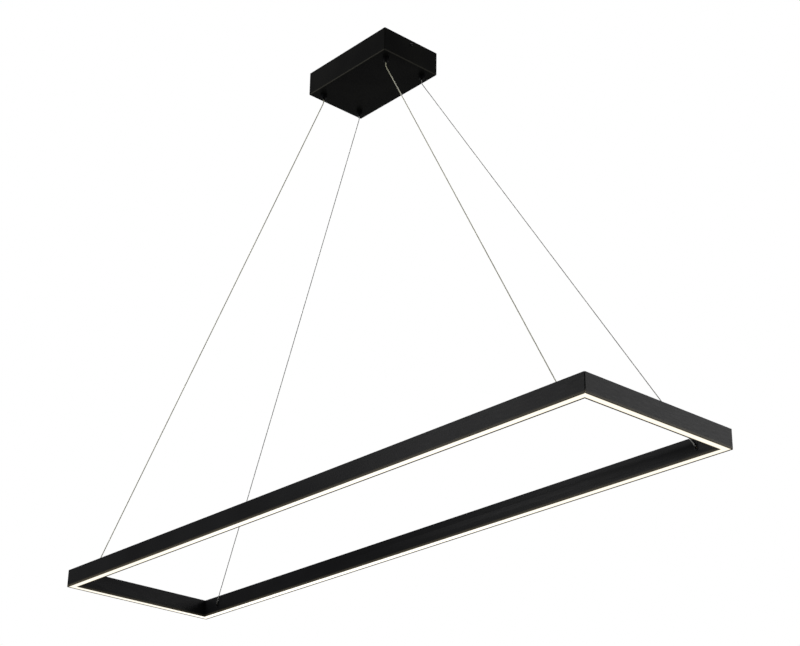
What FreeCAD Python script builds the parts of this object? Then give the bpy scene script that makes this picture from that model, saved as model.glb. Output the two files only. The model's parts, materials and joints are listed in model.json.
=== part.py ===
import FreeCAD, Part
import math
import os
import re
import Sketcher
from FreeCAD import Placement, Rotation, Vector

# Linear island pendant: a long rectangular light frame of four mitred aluminium rails, lit
# from below through opal covers, hung on four thin cables from a rectangular ceiling canopy.
#
# Frame of reference: the origin is the centre of the ceiling plane that the canopy closes
# against, +Z is up, +X runs along the length of the light frame and -Y is the near side.
# Everything hangs below the origin. Sizes are in millimetres.

# ---------------------------------------------------------------------------------------
# Driving dimensions
# ---------------------------------------------------------------------------------------

SIZES = (
    # the light frame as a whole
    ("frame_length", 1220, "outside length of the light frame"),
    ("frame_width", 298, "outside width of the light frame"),
    ("hang_drop", 800, "canopy underside down to the lower edge of the light frame"),
    # extruded rail
    ("rail_height", 30, "height of the rail section"),
    ("rail_width", 14.5, "width of the rail section"),
    ("rail_wall", 1.7, "thickness of the rail's side walls"),
    ("rail_roof", 1.7, "thickness of the rail's top wall"),
    ("shelf_level", 8.5, "lower edge of the rail up to the underside of its LED shelf"),
    ("shelf_thickness", 1.4, "thickness of the LED shelf"),
    ("groove_level", 3.2, "lower edge of the rail up to the snap groove"),
    ("groove_height", 1.1, "height of the snap groove"),
    ("groove_depth", 0.5, "depth of the snap groove"),
    ("mitre_gap", 0.1, "each rail's setback from the true mitre line, along the rail"),
    ("overcut", 1, "how far cutting profiles run past the solid that they cut"),
    # opal cover
    ("cover_recess", 0.3, "how far the opal cover sits up from the rail's lips"),
    ("cover_thickness", 1.8, "thickness of the opal cover's face"),
    ("cover_play", 0.15, "gap on each side of the opal cover"),
    ("cover_mitre_gap", 0.12, "each opal cover's setback from the true mitre line"),
    ("leg_thickness", 0.9, "thickness of the opal cover's legs"),
    ("leg_top", 5, "lower edge of the rail up to the top of the legs"),
    ("barb_bite", 0.35, "how far a barb reaches into its groove"),
    ("barb_height", 0.9, "height of a barb"),
    # LED strip
    ("strip_width", 8, "width of the LED strip's board"),
    ("strip_thickness", 1, "thickness of the LED strip's board"),
    ("strip_end_gap", 1, "gap past the end of an LED strip"),
    ("ribbon_width", 3.2, "width of the strip's unbroken ribbon of phosphor"),
    ("ribbon_height", 0.7, "height of that ribbon"),
    ("ribbon_margin", 10, "bare end of each LED strip"),
    ("jumper_length", 6, "bridge between two LED strips"),
    ("jumper_width", 5, "width of such a bridge"),
    ("jumper_thickness", 0.4, "thickness of such a bridge"),
    # corner key
    ("key_play", 0.05, "gap round a corner key, at the tips of its teeth"),
    ("key_leg", 38, "outer corner to the end of a corner key's leg"),
    ("tooth_pitch", 6, "length of one saw tooth on a corner key"),
    ("tooth_depth", 0.5, "depth of such a tooth"),
    ("tooth_count", 3, "teeth on each flank of a leg"),
    ("screw_play", 0.1, "gap round a screw in its clearance hole"),
    ("thread_play", 0.03, "gap round a screw in its tapped hole"),
    # where a cable enters a long rail
    ("entry_inset", 53, "end of the frame to the centre of a cable's entry"),
    ("entry_level", 15, "lower edge of the rail up to that centre"),
    ("bush_opening_width", 3, "width of the opening in the entry bush"),
    ("bush_opening_height", 8.4, "height of that opening"),
    ("bush_corner", 0.7, "how much of its corners the opening lacks"),
    ("bush_wall", 0.6, "thickness of the bush's sleeve"),
    ("bush_rim", 0.9, "how far the bush's flange stands out round its sleeve"),
    ("bush_flange", 0.8, "thickness of that flange"),
    ("ferrule_across", 3.8, "hexagonal crimp on the lower end of a cable, across its flats"),
    ("ferrule_length", 4, "length of that crimp"),
    # suspension cable
    ("cable_diameter", 1.5, "suspension cable"),
    ("cable_lead_in", 6, "straight stretch below the gripper"),
    ("cable_stand_off", 2.4, "cable's centre line out from the rail, above its entry"),
    ("tail_rise", 18, "canopy underside up to the top of a cable's tail"),
    ("stop_across", 3.4, "hexagonal crimped stop on the tail, across its flats"),
    ("stop_length", 5, "length of that stop"),
    # canopy cover
    ("canopy_length", 200, "length of the canopy cover"),
    ("canopy_width", 120, "width of the canopy cover"),
    ("canopy_height", 44, "height of the canopy cover"),
    ("sheet_thickness", 1.2, "steel sheet of the canopy cover"),
    ("bend_radius", 1.8, "outside radius of the cover's bends"),
    ("gripper_inset_x", 18, "end of the canopy to the middle of a gripper"),
    ("gripper_inset_y", 19, "long side of the canopy to the middle of a gripper"),
    # ceiling bracket
    ("bracket_width", 30, "width of the ceiling bracket"),
    ("bracket_thickness", 1.5, "steel of the ceiling bracket"),
    ("bracket_play", 0.3, "gap from each bracket tab to the cover"),
    ("bracket_tab", 17.5, "ceiling plane down to the end of a tab"),
    ("slot_spacing", 88.9, "ceiling screw to ceiling screw"),
    ("slot_width", 4.8, "width of a ceiling screw slot"),
    ("slot_length", 16, "end to end length of such a slot"),
    ("wire_hole_diameter", 18, "hole for the supply wires"),
    ("cover_screw_level", 9, "ceiling plane down to the cover screws"),
    ("cover_screw_diameter", 3, "thread of a cover screw"),
    ("cover_screw_head", 5.6, "head of a cover screw"),
    ("cover_screw_head_height", 1.4, "height of that head"),
    ("cover_screw_length", 7, "length of its shank"),
    ("ground_inset", 37, "end of the canopy to the earth screw"),
    ("ground_side", 9, "bracket's middle line to the earth screw"),
    ("ground_screw_diameter", 4, "thread of the earth screw"),
    ("ground_screw_head", 7.4, "head of the earth screw"),
    ("ground_screw_head_height", 2.2, "height of that head"),
    # terminal block
    ("block_inset", 22, "end of the canopy to the middle of the terminal block"),
    ("block_length", 14, "terminal block along the canopy"),
    ("block_width", 24, "terminal block across the canopy"),
    ("block_height", 11, "terminal block height"),
    ("block_screw_diameter", 2.6, "thread of the terminal block's screw"),
    ("block_screw_head", 4.6, "head of that screw"),
    ("block_screw_sink", 3, "depth of the head's counterbore"),
    ("pole_pitch", 8, "one pole of the terminal block to the next"),
    ("pole_groove", 0.8, "width and depth of the groove between poles"),
    # LED driver
    ("driver_length", 118, "LED driver's case along the canopy"),
    ("driver_width", 46, "LED driver's case across the canopy"),
    ("driver_height", 22, "LED driver's case height"),
    ("driver_rounding", 2.5, "rounding of the case's upright edges"),
    ("ear_length", 7, "length of each fixing ear"),
    ("ear_width", 14, "width of each fixing ear"),
    ("ear_thickness", 2, "thickness of each fixing ear"),
    ("stud_diameter", 3, "weld stud in the canopy cover"),
    ("stud_height", 7, "height of that stud"),
    ("stud_nut_across", 5.5, "stud nut across its flats"),
    ("stud_nut_height", 2.4, "stud nut height"),
    # cable gripper
    ("gripper_diameter", 10.4, "visible part of the gripper"),
    ("gripper_drop", 7, "canopy underside down to the gripper's lower face"),
    ("gripper_chamfer", 0.6, "chamfer round that face"),
    ("shank_diameter", 8, "threaded shank of the gripper"),
    ("shank_rise", 12, "canopy underside up to the top of the shank"),
    ("shank_cap", 1.2, "closed top of the shank"),
    ("shank_play", 0.1, "gap round the shank in the canopy's hole"),
    ("guide_diameter", 4.9, "bore that guides the plunger"),
    ("chamber_diameter", 6.1, "spring chamber"),
    ("cone_foot", 3, "gripper's lower face up to the foot of its cone"),
    ("cone_height", 6, "height of the cone that wedges the balls"),
    ("gripper_nut_across", 12, "gripper nut across its flats"),
    ("gripper_nut_height", 3, "gripper nut height"),
    ("nose_drop", 3, "how far the plunger's nose stands out"),
    ("nose_chamfer", 0.8, "chamfer of that nose"),
    ("plunger_play", 0.15, "gap round the plunger in its guide"),
    ("plunger_rise", 8, "gripper's lower face up to the plunger's top"),
    ("cable_play", 0.2, "gap round the cable in the plunger"),
    ("ball_diameter", 1.8, "gripping ball"),
    ("ball_play", 0.05, "gap round a ball"),
    ("ball_level", 6, "gripper's lower face up to the balls' centres"),
    ("ball_count", 3, "balls in each gripper"),
    ("ball_window", 1.9, "width and height of the plunger's window for a ball"),
    ("spring_wire", 0.4, "wire of the plunger's spring"),
    ("spring_diameter", 4, "middle diameter of that spring"),
    ("spring_turns", 4, "turns of that spring"),
    ("spring_play", 0.05, "gap at each end of that spring"),
    # wiring
    ("lead_diameter", 2, "insulated lead inside the canopy"),
    ("feed_diameter", 1.2, "insulated wire inside the rail"),
    ("feed_hole_diameter", 2, "hole for that wire in the LED shelf"),
    ("feed_step", 32, "cable entry to that hole, along the rail"),
)

doc = FreeCAD.newDocument("linear_island_pendant")
sheet = doc.addObject("Spreadsheet::Sheet", "Sizes")
for row, (word, value, meaning) in enumerate(SIZES, start=1):
    sheet.set("A%d" % row, meaning)
    sheet.set("B%d" % row, str(value))
    sheet.setAlias("B%d" % row, word)
doc.recompute()

# heights that many pieces share, as formulas of the driving dimensions
CANOPY_UNDERSIDE = "-canopy_height"
GRIPPER_FACE = "-(canopy_height + gripper_drop)"
FRAME_FOOT = "-(canopy_height + hang_drop)"

# places on the canopy, measured from its centre
GRIPPER_X = "(canopy_length / 2 - gripper_inset_x)"
GRIPPER_Y = "(canopy_width / 2 - gripper_inset_y)"
BLOCK_X = "(canopy_length / 2 - block_inset)"
GROUND_X = "(canopy_length / 2 - ground_inset)"

# the four hanging points: name, side along X, side along Y
CORNERS = (("near_left", -1, -1), ("near_right", 1, -1), ("far_right", 1, 1), ("far_left", -1, 1))


# ---------------------------------------------------------------------------------------
# Helpers
# ---------------------------------------------------------------------------------------

def size(word):
    """The value of one driving dimension, for shapes that are made in code."""
    return float(sheet.get(word))


def bound(formula):
    """A formula with each size word pointed at its cell in the sheet."""
    return re.sub(r"\b[a-z][a-z_]*\b(?!\()", lambda found: "Sizes." + found.group(), formula)


def signed(side, formula):
    """The formula on the positive or the negative side of an axis."""
    return "(%s)" % formula if side > 0 else "-(%s)" % formula


def place(piece, x="0", y="0", z="0", turn=0):
    """Put a piece at a place given by formulas, turned about Z by some degrees."""
    piece.Placement = Placement(Vector(), Rotation(Vector(0, 0, 1), turn))
    for axis, formula in zip("xyz", (x, y, z)):
        piece.setExpression("Placement.Base." + axis, bound(formula))
    return piece


def new_body(label):
    body = doc.addObject("PartDesign::Body", label)
    body.Label = label
    return body


def origin_feature(body, role):
    """One of a body's own origin planes or axes."""
    return next(item for item in body.Origin.OriginFeatures if item.Role == role)


def plane_sketch(body, role, name, level="0"):
    """A sketch on one of the body's origin planes, shifted along the plane's normal."""
    sketch = body.newObject("Sketcher::SketchObject", name)
    sketch.AttachmentSupport = [(origin_feature(body, role), "")]
    sketch.MapMode = "FlatFace"
    sketch.setExpression("AttachmentOffset.Base.z", bound(level))
    return sketch


def drive(sketch, kind, references, start, formula):
    """Add one dimension to a sketch and bind it to a formula."""
    index = sketch.addConstraint(Sketcher.Constraint(kind, *references, start))
    sketch.setExpression("Constraints[%d]" % index, bound(formula))


def locate(sketch, geometry, point, start, u, v):
    """Place one point of a sketch by two formulas, measured from the sketch's origin."""
    drive(sketch, "DistanceX", (-1, 1, geometry, point), start.x, u)
    drive(sketch, "DistanceY", (-1, 1, geometry, point), start.y, v)


def outline(sketch, corners):
    """A closed outline of straight edges through corners given as pairs of formulas."""
    first = sketch.GeometryCount
    count = len(corners)
    angles = [-2 * math.pi * index / count for index in range(count)]
    starts = [Vector(10 * math.cos(angle), 10 * math.sin(angle), 0) for angle in angles]
    for index in range(count):
        sketch.addGeometry(Part.LineSegment(starts[index], starts[(index + 1) % count]), False)
    for index in range(count):
        following = first + (index + 1) % count
        sketch.addConstraint(Sketcher.Constraint("Coincident", first + index, 2, following, 1))
    for index, (u, v) in enumerate(corners):
        locate(sketch, first + index, 1, starts[index], u, v)


def rectangle(sketch, left, right, low, high):
    outline(sketch, ((left, low), (right, low), (right, high), (left, high)))


def ring(sketch, u, v, diameter):
    """A circle whose centre and diameter are formulas."""
    start = Vector(1, 1, 0)
    index = sketch.addGeometry(Part.Circle(start, Vector(0, 0, 1), 1.0), False)
    drive(sketch, "Diameter", (index,), 2.0, diameter)
    locate(sketch, index, 3, start, u, v)


def hexagon(sketch, across):
    """A hexagon round the sketch's origin, with two flats facing along the V axis."""
    point = "%s / sqrt(3)" % across
    half_point = "%s / (2 * sqrt(3))" % across
    flat = "%s / 2" % across
    outline(sketch, (
        (point, "0"), (half_point, flat), ("-" + half_point, flat),
        ("-" + point, "0"), ("-" + half_point, "-" + flat), (half_point, "-" + flat),
    ))


def pad(body, sketch, length, symmetric=False, reverse=False):
    """Extrude a sketch; reverse sends it against the sketch's normal."""
    feature = body.newObject("PartDesign::Pad", sketch.Name + "_pad")
    feature.Profile = sketch
    feature.setExpression("Length", bound(length))
    feature.SideType = "Symmetric" if symmetric else "One side"
    feature.Reversed = reverse
    return feature


def pocket(body, sketch, depth=None, reverse=False):
    """Cut a sketch out of the body: against its normal by a depth, or right through."""
    feature = body.newObject("PartDesign::Pocket", sketch.Name + "_pocket")
    feature.Profile = sketch
    feature.Reversed = reverse
    if depth is None:
        feature.Type = "ThroughAll"
        feature.SideType = "Symmetric"
    else:
        feature.setExpression("Length", bound(depth))
    return feature


def fillet(body, base, radius, chosen):
    """Round the edges of the base feature for which chosen(edge) is true."""
    doc.recompute()
    edges = enumerate(base.Shape.Edges, start=1)
    names = ["Edge%d" % number for number, edge in edges if chosen(edge)]
    feature = body.newObject("PartDesign::Fillet", base.Name + "_fillet")
    feature.Base = (base, names)
    feature.setExpression("Radius", bound(radius))
    return feature


def upright_edge(edge):
    return abs(edge.tangentAt(edge.FirstParameter).z) > 0.99


def turned(label, profile):
    """A body turned about its Z axis from (radius, height) corners given as formulas."""
    body = new_body(label)
    sketch = plane_sketch(body, "XZ_Plane", label + "_profile")
    outline(sketch, profile)
    feature = body.newObject("PartDesign::Revolution", label + "_turning")
    feature.Profile = sketch
    feature.ReferenceAxis = (sketch, ["V_Axis"])
    feature.Angle = 360
    return body


def group(label, pieces):
    """Identical small pieces that share one node, still separate solids."""
    compound = doc.addObject("Part::Compound", label)
    compound.Label = label
    compound.Links = pieces
    return compound


def hex_nut(label, across, height, bore):
    body = new_body(label)
    sketch = plane_sketch(body, "XY_Plane", label + "_outline")
    hexagon(sketch, across)
    ring(sketch, "0", "0", bore)
    pad(body, sketch, height)
    return body


def pan_screw(label, shank, length, head, head_height):
    """A screw with its head below: the head's seat is at height 0 and the shank goes up."""
    return turned(label, (
        ("0", "-" + head_height), ("%s / 2" % head, "-" + head_height), ("%s / 2" % head, "0"),
        ("%s / 2" % shank, "0"), ("%s / 2" % shank, length), ("0", length),
    ))


def hex_crimp(label, across, length):
    """A metal sleeve squeezed to a hexagon on the end of a cable."""
    body = new_body(label)
    sketch = plane_sketch(body, "XY_Plane", label + "_outline")
    hexagon(sketch, across)
    pad(body, sketch, length)
    return body


# ---------------------------------------------------------------------------------------
# Light frame: rails, opal covers, LED strips
# Each is drawn along X with its outer face at Y 0 and its lower edge at Z 0.
# ---------------------------------------------------------------------------------------

# name, length, turn about Z, and the place of the middle of its outer lower edge
SIDES = (
    ("near", "frame_length", 0, "0", "-frame_width / 2"),
    ("right", "frame_width", 90, "frame_length / 2", "0"),
    ("far", "frame_length", 180, "0", "frame_width / 2"),
    ("left", "frame_width", 270, "-frame_length / 2", "0"),
)


def mitre(body, length, setback):
    """Cut both ends of a rail or cover at 45 degrees, from its outer face inwards."""
    sketch = plane_sketch(body, "XY_Plane", body.Name + "_mitres")
    outside = "(%s / 2 + overcut)" % length
    heel = "(%s / 2 - %s + overcut)" % (length, setback)
    toe = "(%s / 2 - %s - rail_width - overcut)" % (length, setback)
    back = "rail_width + overcut"
    for sign in ("", "-"):
        outline(sketch, (
            (sign + heel, "-overcut"), (sign + outside, "-overcut"),
            (sign + outside, back), (sign + toe, back),
        ))
    pocket(body, sketch)


def rail_section(sketch):
    """Open channel below for the light, closed chamber above for keys and wires."""
    near, far = "rail_wall", "rail_width - rail_wall"
    near_floor, far_floor = "rail_wall - groove_depth", "rail_width - rail_wall + groove_depth"
    groove_top = "groove_level + groove_height"
    outline(sketch, (
        ("0", "0"), ("0", "rail_height"), ("rail_width", "rail_height"), ("rail_width", "0"),
        (far, "0"), (far, "groove_level"), (far_floor, "groove_level"), (far_floor, groove_top),
        (far, groove_top), (far, "shelf_level"), (near, "shelf_level"), (near, groove_top),
        (near_floor, groove_top), (near_floor, "groove_level"), (near, "groove_level"),
        (near, "0"),
    ))
    rectangle(sketch, near, far, "shelf_level + shelf_thickness", "rail_height - rail_roof")


def entry_window(sketch, u, v, margin):
    """An upright window with cut corners, larger all round than the bush's opening."""
    across = "(bush_opening_width / 2 + %s)" % margin
    up = "(bush_opening_height / 2 + %s)" % margin
    corner = "(bush_corner + (2 - sqrt(2)) * %s)" % margin
    quarter = ((across, "(%s - %s)" % (up, corner)), ("(%s - %s)" % (across, corner), up))
    places = []
    for side_u, side_v in ((1, 1), (-1, 1), (-1, -1), (1, -1)):
        ordered = quarter if side_u == side_v else quarter[::-1]
        places += [("%s + %s" % (u, signed(side_u, one)), "%s + %s" % (v, signed(side_v, other)))
                   for one, other in ordered]
    outline(sketch, places)


def rail(label, length, has_entries, has_feeds):
    body = new_body(label)
    section = plane_sketch(body, "YZ_Plane", label + "_section")
    rail_section(section)
    pad(body, section, length, symmetric=True)
    mitre(body, length, "mitre_gap")

    if has_entries:
        entries = plane_sketch(body, "XZ_Plane", label + "_entries", "-rail_width")
        for side in (-1, 1):
            entry_window(entries, signed(side, "%s / 2 - entry_inset" % length), "entry_level",
                         "bush_wall")
        pocket(body, entries, "rail_wall + overcut", reverse=True)
    if has_feeds:
        feeds = plane_sketch(body, "XY_Plane", label + "_feed_holes",
                             "shelf_level + shelf_thickness")
        for side in (-1, 1):
            along = signed(side, "%s / 2 - entry_inset - feed_step" % length)
            ring(feeds, along, "rail_width / 2", "feed_hole_diameter")
        pocket(body, feeds, "shelf_thickness + overcut")
    return body


def opal_cover(label, length):
    """Flat face between the rail's lips, held by two legs whose barbs rest in the grooves."""
    body = new_body(label)
    section = plane_sketch(body, "YZ_Plane", label + "_section")
    face_top = "cover_recess + cover_thickness"
    barb_top = "groove_level + barb_height"
    near, far = "rail_wall + cover_play", "rail_width - rail_wall - cover_play"
    near_in, far_in = near + " + leg_thickness", far + " - leg_thickness"
    near_tip, far_tip = "rail_wall - barb_bite", "rail_width - rail_wall + barb_bite"
    outline(section, (
        (near, "cover_recess"), (far, "cover_recess"), (far, "groove_level"),
        (far_tip, "groove_level"), (far, barb_top), (far, "leg_top"), (far_in, "leg_top"),
        (far_in, face_top), (near_in, face_top), (near_in, "leg_top"), (near, "leg_top"),
        (near, barb_top), (near_tip, "groove_level"), (near, "groove_level"),
    ))
    pad(body, section, length, symmetric=True)
    mitre(body, length, "cover_mitre_gap")
    return body


def led_strip(label, half_length):
    """A board under the shelf, with an unbroken ribbon of phosphor facing down."""
    body = new_body(label)
    low, high = "(rail_width - %s) / 2", "(rail_width + %s) / 2"
    board = plane_sketch(body, "XY_Plane", label + "_board", "shelf_level")
    rectangle(board, "-(%s)" % half_length, half_length, low % "strip_width", high % "strip_width")
    pad(body, board, "strip_thickness", reverse=True)
    ribbon = plane_sketch(body, "XY_Plane", label + "_ribbon", "shelf_level - strip_thickness")
    rectangle(ribbon, "ribbon_margin - (%s)" % half_length, "%s - ribbon_margin" % half_length,
              low % "ribbon_width", high % "ribbon_width")
    pad(body, ribbon, "ribbon_height", reverse=True)
    return body


LONG_STRIP = "frame_length / 2 - rail_wall - strip_end_gap"
SHORT_STRIP = "frame_width / 2 - (rail_width + strip_width) / 2 - strip_end_gap"

frame_nodes = []
for name, length, turn, x, y in SIDES:
    is_long = length == "frame_length"
    pieces = (
        rail("rail_" + name, length, has_entries=is_long, has_feeds=name == "near"),
        opal_cover("opal_cover_" + name, length),
        led_strip("led_strip_" + name, LONG_STRIP if is_long else SHORT_STRIP),
    )
    for piece in pieces:
        frame_nodes.append(place(piece, x, y, FRAME_FOOT, turn))


def strip_jumper(label, side_x, side_y):
    """Thin bridge under two boards, across the gap where a short strip meets a long one."""
    jumper = doc.addObject("Part::Box", label)
    jumper.setExpression("Length", bound("jumper_width"))
    jumper.setExpression("Width", bound("jumper_length"))
    jumper.setExpression("Height", bound("jumper_thickness"))
    gap_middle = "frame_width / 2 - (rail_width + strip_width) / 2 - strip_end_gap / 2"
    place(jumper,
          signed(side_x, "frame_length / 2 - rail_width / 2") + " - jumper_width / 2",
          signed(side_y, gap_middle) + " - jumper_length / 2",
          FRAME_FOOT + " + shelf_level - strip_thickness - jumper_thickness")
    return jumper


# the strips are one chain from the near left corner round to the far left one
jumper_corners = [corner for corner in CORNERS if corner[0] != "near_left"]
frame_nodes.append(group("strip_jumpers", [
    strip_jumper("strip_jumper_" + name, side_x, side_y)
    for name, side_x, side_y in jumper_corners
]))


# ---------------------------------------------------------------------------------------
# Light frame: corner keys, knocked into the rails' chambers
# ---------------------------------------------------------------------------------------

# name, sides along X and Y, and the turn that points both legs inwards
KEY_CORNERS = (("near_left", -1, -1, 0), ("near_right", 1, -1, 90),
               ("far_right", 1, 1, 180), ("far_left", -1, 1, 270))
KEY_HEIGHT = "(rail_height - rail_roof - shelf_level - shelf_thickness - 2 * key_play)"


def toothed_flank(root, tip):
    """One flank of a leg, from the corner outwards: teeth slope towards the leg's end."""
    flank = []
    for number in range(int(size("tooth_count")), 0, -1):
        heel = "key_leg - %d * tooth_pitch" % number
        flank += [(heel, root), (heel, tip)]
    return flank + [("key_leg", root)]


def corner_key(label):
    """An L that fills the rails' chambers, its outer corner at the origin."""
    outer_tip = "rail_wall + key_play"
    inner_tip = "rail_width - rail_wall - key_play"
    outer_root, inner_root = outer_tip + " + tooth_depth", inner_tip + " - tooth_depth"
    outer = toothed_flank(outer_root, outer_tip)
    inner = toothed_flank(inner_root, inner_tip)
    long_way = [(outer_root, outer_root)] + outer + inner[::-1]
    other_way = [(across, along) for along, across in inner + outer[::-1]]
    body = new_body(label)
    shape = plane_sketch(body, "XY_Plane", label + "_shape")
    outline(shape, long_way + [(inner_root, inner_root)] + other_way)
    pad(body, shape, KEY_HEIGHT)
    return body


key_foot = FRAME_FOOT + " + shelf_level + shelf_thickness + key_play"
for name, side_x, side_y, turn in KEY_CORNERS:
    frame_nodes.append(place(corner_key("corner_key_" + name), signed(side_x, "frame_length / 2"),
                             signed(side_y, "frame_width / 2"), key_foot, turn))


# ---------------------------------------------------------------------------------------
# Light frame: where the cables enter the long rails
# ---------------------------------------------------------------------------------------

ENTRY_X = "frame_length / 2 - entry_inset"
ENTRY_Y = "frame_width / 2 - rail_width"
ENTRY_Z = FRAME_FOOT + " + entry_level"


def entry_bush(label):
    """Flanged sleeve in the rail's window; its seat is the plane Y 0 and the rail is at +Y."""
    body = new_body(label)
    flange = plane_sketch(body, "XZ_Plane", label + "_flange")
    entry_window(flange, "0", "0", "(bush_wall + bush_rim)")
    pad(body, flange, "bush_flange")
    sleeve = plane_sketch(body, "XZ_Plane", label + "_sleeve")
    entry_window(sleeve, "0", "0", "bush_wall")
    pad(body, sleeve, "rail_wall", reverse=True)
    hole = plane_sketch(body, "XZ_Plane", label + "_hole")
    entry_window(hole, "0", "0", "0")
    pocket(body, hole)
    return body


bushes, ferrules = [], []
for name, side_x, side_y in CORNERS:
    x = signed(side_x, ENTRY_X)
    bush = entry_bush("entry_bush_" + name)
    bushes.append(place(bush, x, signed(side_y, ENTRY_Y), ENTRY_Z, 0 if side_y > 0 else 180))
    ferrule = hex_crimp("cable_ferrule_" + name, "ferrule_across", "ferrule_length")
    place(ferrule, x, signed(side_y, ENTRY_Y + " + rail_wall"), ENTRY_Z)
    ferrule.Placement.Rotation = Rotation(Vector(1, 0, 0), -90 * side_y)
    ferrules.append(ferrule)
frame_nodes.append(group("entry_bushes", bushes))
frame_nodes.append(group("cable_ferrules", ferrules))


# ---------------------------------------------------------------------------------------
# Canopy: cover, ceiling bracket and their screws
# ---------------------------------------------------------------------------------------

STUD_X = "(driver_length + ear_length) / 2"


def canopy_cover():
    """Shallow box bent from sheet, open at the ceiling, with two weld studs on its floor."""
    body = new_body("canopy_cover")
    block = plane_sketch(body, "XY_Plane", "canopy_outline")
    rectangle(block, "-canopy_length / 2", "canopy_length / 2",
              "-canopy_width / 2", "canopy_width / 2")
    solid = pad(body, block, "canopy_height", reverse=True)
    floor_level = -size("canopy_height")
    fillet(body, solid, "bend_radius", lambda edge: upright_edge(edge)
           or edge.BoundBox.ZMax < floor_level + 0.001)
    cavity = plane_sketch(body, "XY_Plane", "canopy_cavity")
    half_length = "(canopy_length / 2 - sheet_thickness)"
    half_width = "(canopy_width / 2 - sheet_thickness)"
    rectangle(cavity, "-" + half_length, half_length, "-" + half_width, half_width)
    pocket(body, cavity, "canopy_height - sheet_thickness")

    gripper_holes = plane_sketch(body, "XY_Plane", "canopy_gripper_holes")
    for name, side_x, side_y in CORNERS:
        ring(gripper_holes, signed(side_x, GRIPPER_X), signed(side_y, GRIPPER_Y),
             "shank_diameter + 2 * shank_play")
    pocket(body, gripper_holes)
    screw_holes = plane_sketch(body, "YZ_Plane", "canopy_screw_holes")
    ring(screw_holes, "0", "-cover_screw_level", "cover_screw_diameter + 2 * screw_play")
    pocket(body, screw_holes)
    studs = plane_sketch(body, "XY_Plane", "canopy_studs", "sheet_thickness - canopy_height")
    for side in (-1, 1):
        ring(studs, signed(side, STUD_X), "0", "stud_diameter")
    pad(body, studs, "stud_height")
    return body


def ceiling_bracket():
    """Steel strap against the ceiling with a tab bent down at each end."""
    body = new_body("ceiling_bracket")
    side = plane_sketch(body, "XZ_Plane", "bracket_side")
    out = "(canopy_length / 2 - sheet_thickness - bracket_play)"
    into = "(canopy_length / 2 - sheet_thickness - bracket_play - bracket_thickness)"
    outline(side, (
        ("-" + out, "0"), (out, "0"), (out, "-bracket_tab"), (into, "-bracket_tab"),
        (into, "-bracket_thickness"), ("-" + into, "-bracket_thickness"),
        ("-" + into, "-bracket_tab"), ("-" + out, "-bracket_tab"),
    ))
    strap = pad(body, side, "bracket_width", symmetric=True)
    reach = size("canopy_length") / 2 - size("sheet_thickness") - size("bracket_play")
    fillet(body, strap, "bracket_thickness * 0.8", lambda edge: edge.BoundBox.ZMin > -0.001
           and edge.BoundBox.XLength < 0.001 and abs(edge.BoundBox.XMax) > reach - 0.001)

    holes = plane_sketch(body, "XY_Plane", "bracket_holes")
    slots = plane_sketch(body, "XY_Plane", "bracket_slots")
    for side in (-1, 1):
        middle, reach = signed(side, "slot_spacing / 2"), "(slot_length - slot_width) / 2"
        for end in (-1, 1):
            ring(holes, "%s + %s" % (middle, signed(end, reach)), "0", "slot_width")
        rectangle(slots, "%s - %s" % (middle, reach), "%s + %s" % (middle, reach),
                  "-slot_width / 2", "slot_width / 2")
    ring(holes, "0", "0", "wire_hole_diameter")
    ring(holes, GROUND_X, "-ground_side", "ground_screw_diameter + 2 * thread_play")
    ring(holes, BLOCK_X, "0", "block_screw_diameter + 2 * thread_play")
    pocket(body, holes)
    pocket(body, slots)
    tab_holes = plane_sketch(body, "YZ_Plane", "bracket_tab_holes")
    ring(tab_holes, "0", "-cover_screw_level", "cover_screw_diameter + 2 * thread_play")
    pocket(body, tab_holes)
    return body


cover_screws = []
for side, name in ((-1, "left"), (1, "right")):
    screw = pan_screw("cover_screw_" + name, "cover_screw_diameter", "cover_screw_length",
                      "cover_screw_head", "cover_screw_head_height")
    place(screw, signed(side, "canopy_length / 2"), "0", "-cover_screw_level")
    screw.Placement.Rotation = Rotation(Vector(0, 1, 0), -90 * side)
    cover_screws.append(screw)

ground_screw = pan_screw("ground_screw", "ground_screw_diameter", "bracket_thickness",
                         "ground_screw_head", "ground_screw_head_height")
place(ground_screw, GROUND_X, "-ground_side", "-bracket_thickness")

canopy_nodes = [canopy_cover(), ceiling_bracket(), group("cover_screws", cover_screws),
                ground_screw]


# ---------------------------------------------------------------------------------------
# Canopy: terminal block and LED driver
# ---------------------------------------------------------------------------------------

def terminal_block():
    """Three poles side by side under the bracket, with grooves between them."""
    body = new_body("terminal_block")
    shape = plane_sketch(body, "XY_Plane", "block_shape")
    rectangle(shape, "-block_length / 2", "block_length / 2",
              "-block_width / 2", "block_width / 2")
    pad(body, shape, "block_height", reverse=True)
    grooves = plane_sketch(body, "YZ_Plane", "block_grooves")
    foot = "-block_height"
    for side in (-1, 1):
        middle = signed(side, "pole_pitch / 2")
        rectangle(grooves, middle + " - pole_groove / 2", middle + " + pole_groove / 2",
                  foot + " - overcut", foot + " + pole_groove")
    pocket(body, grooves)
    bore = plane_sketch(body, "XY_Plane", "block_bore")
    ring(bore, "0", "0", "block_screw_diameter + 2 * screw_play")
    pocket(body, bore)
    sink = plane_sketch(body, "XY_Plane", "block_sink", "-block_height")
    ring(sink, "0", "0", "block_screw_head + 2 * screw_play")
    pocket(body, sink, "block_screw_sink", reverse=True)
    return body


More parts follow.
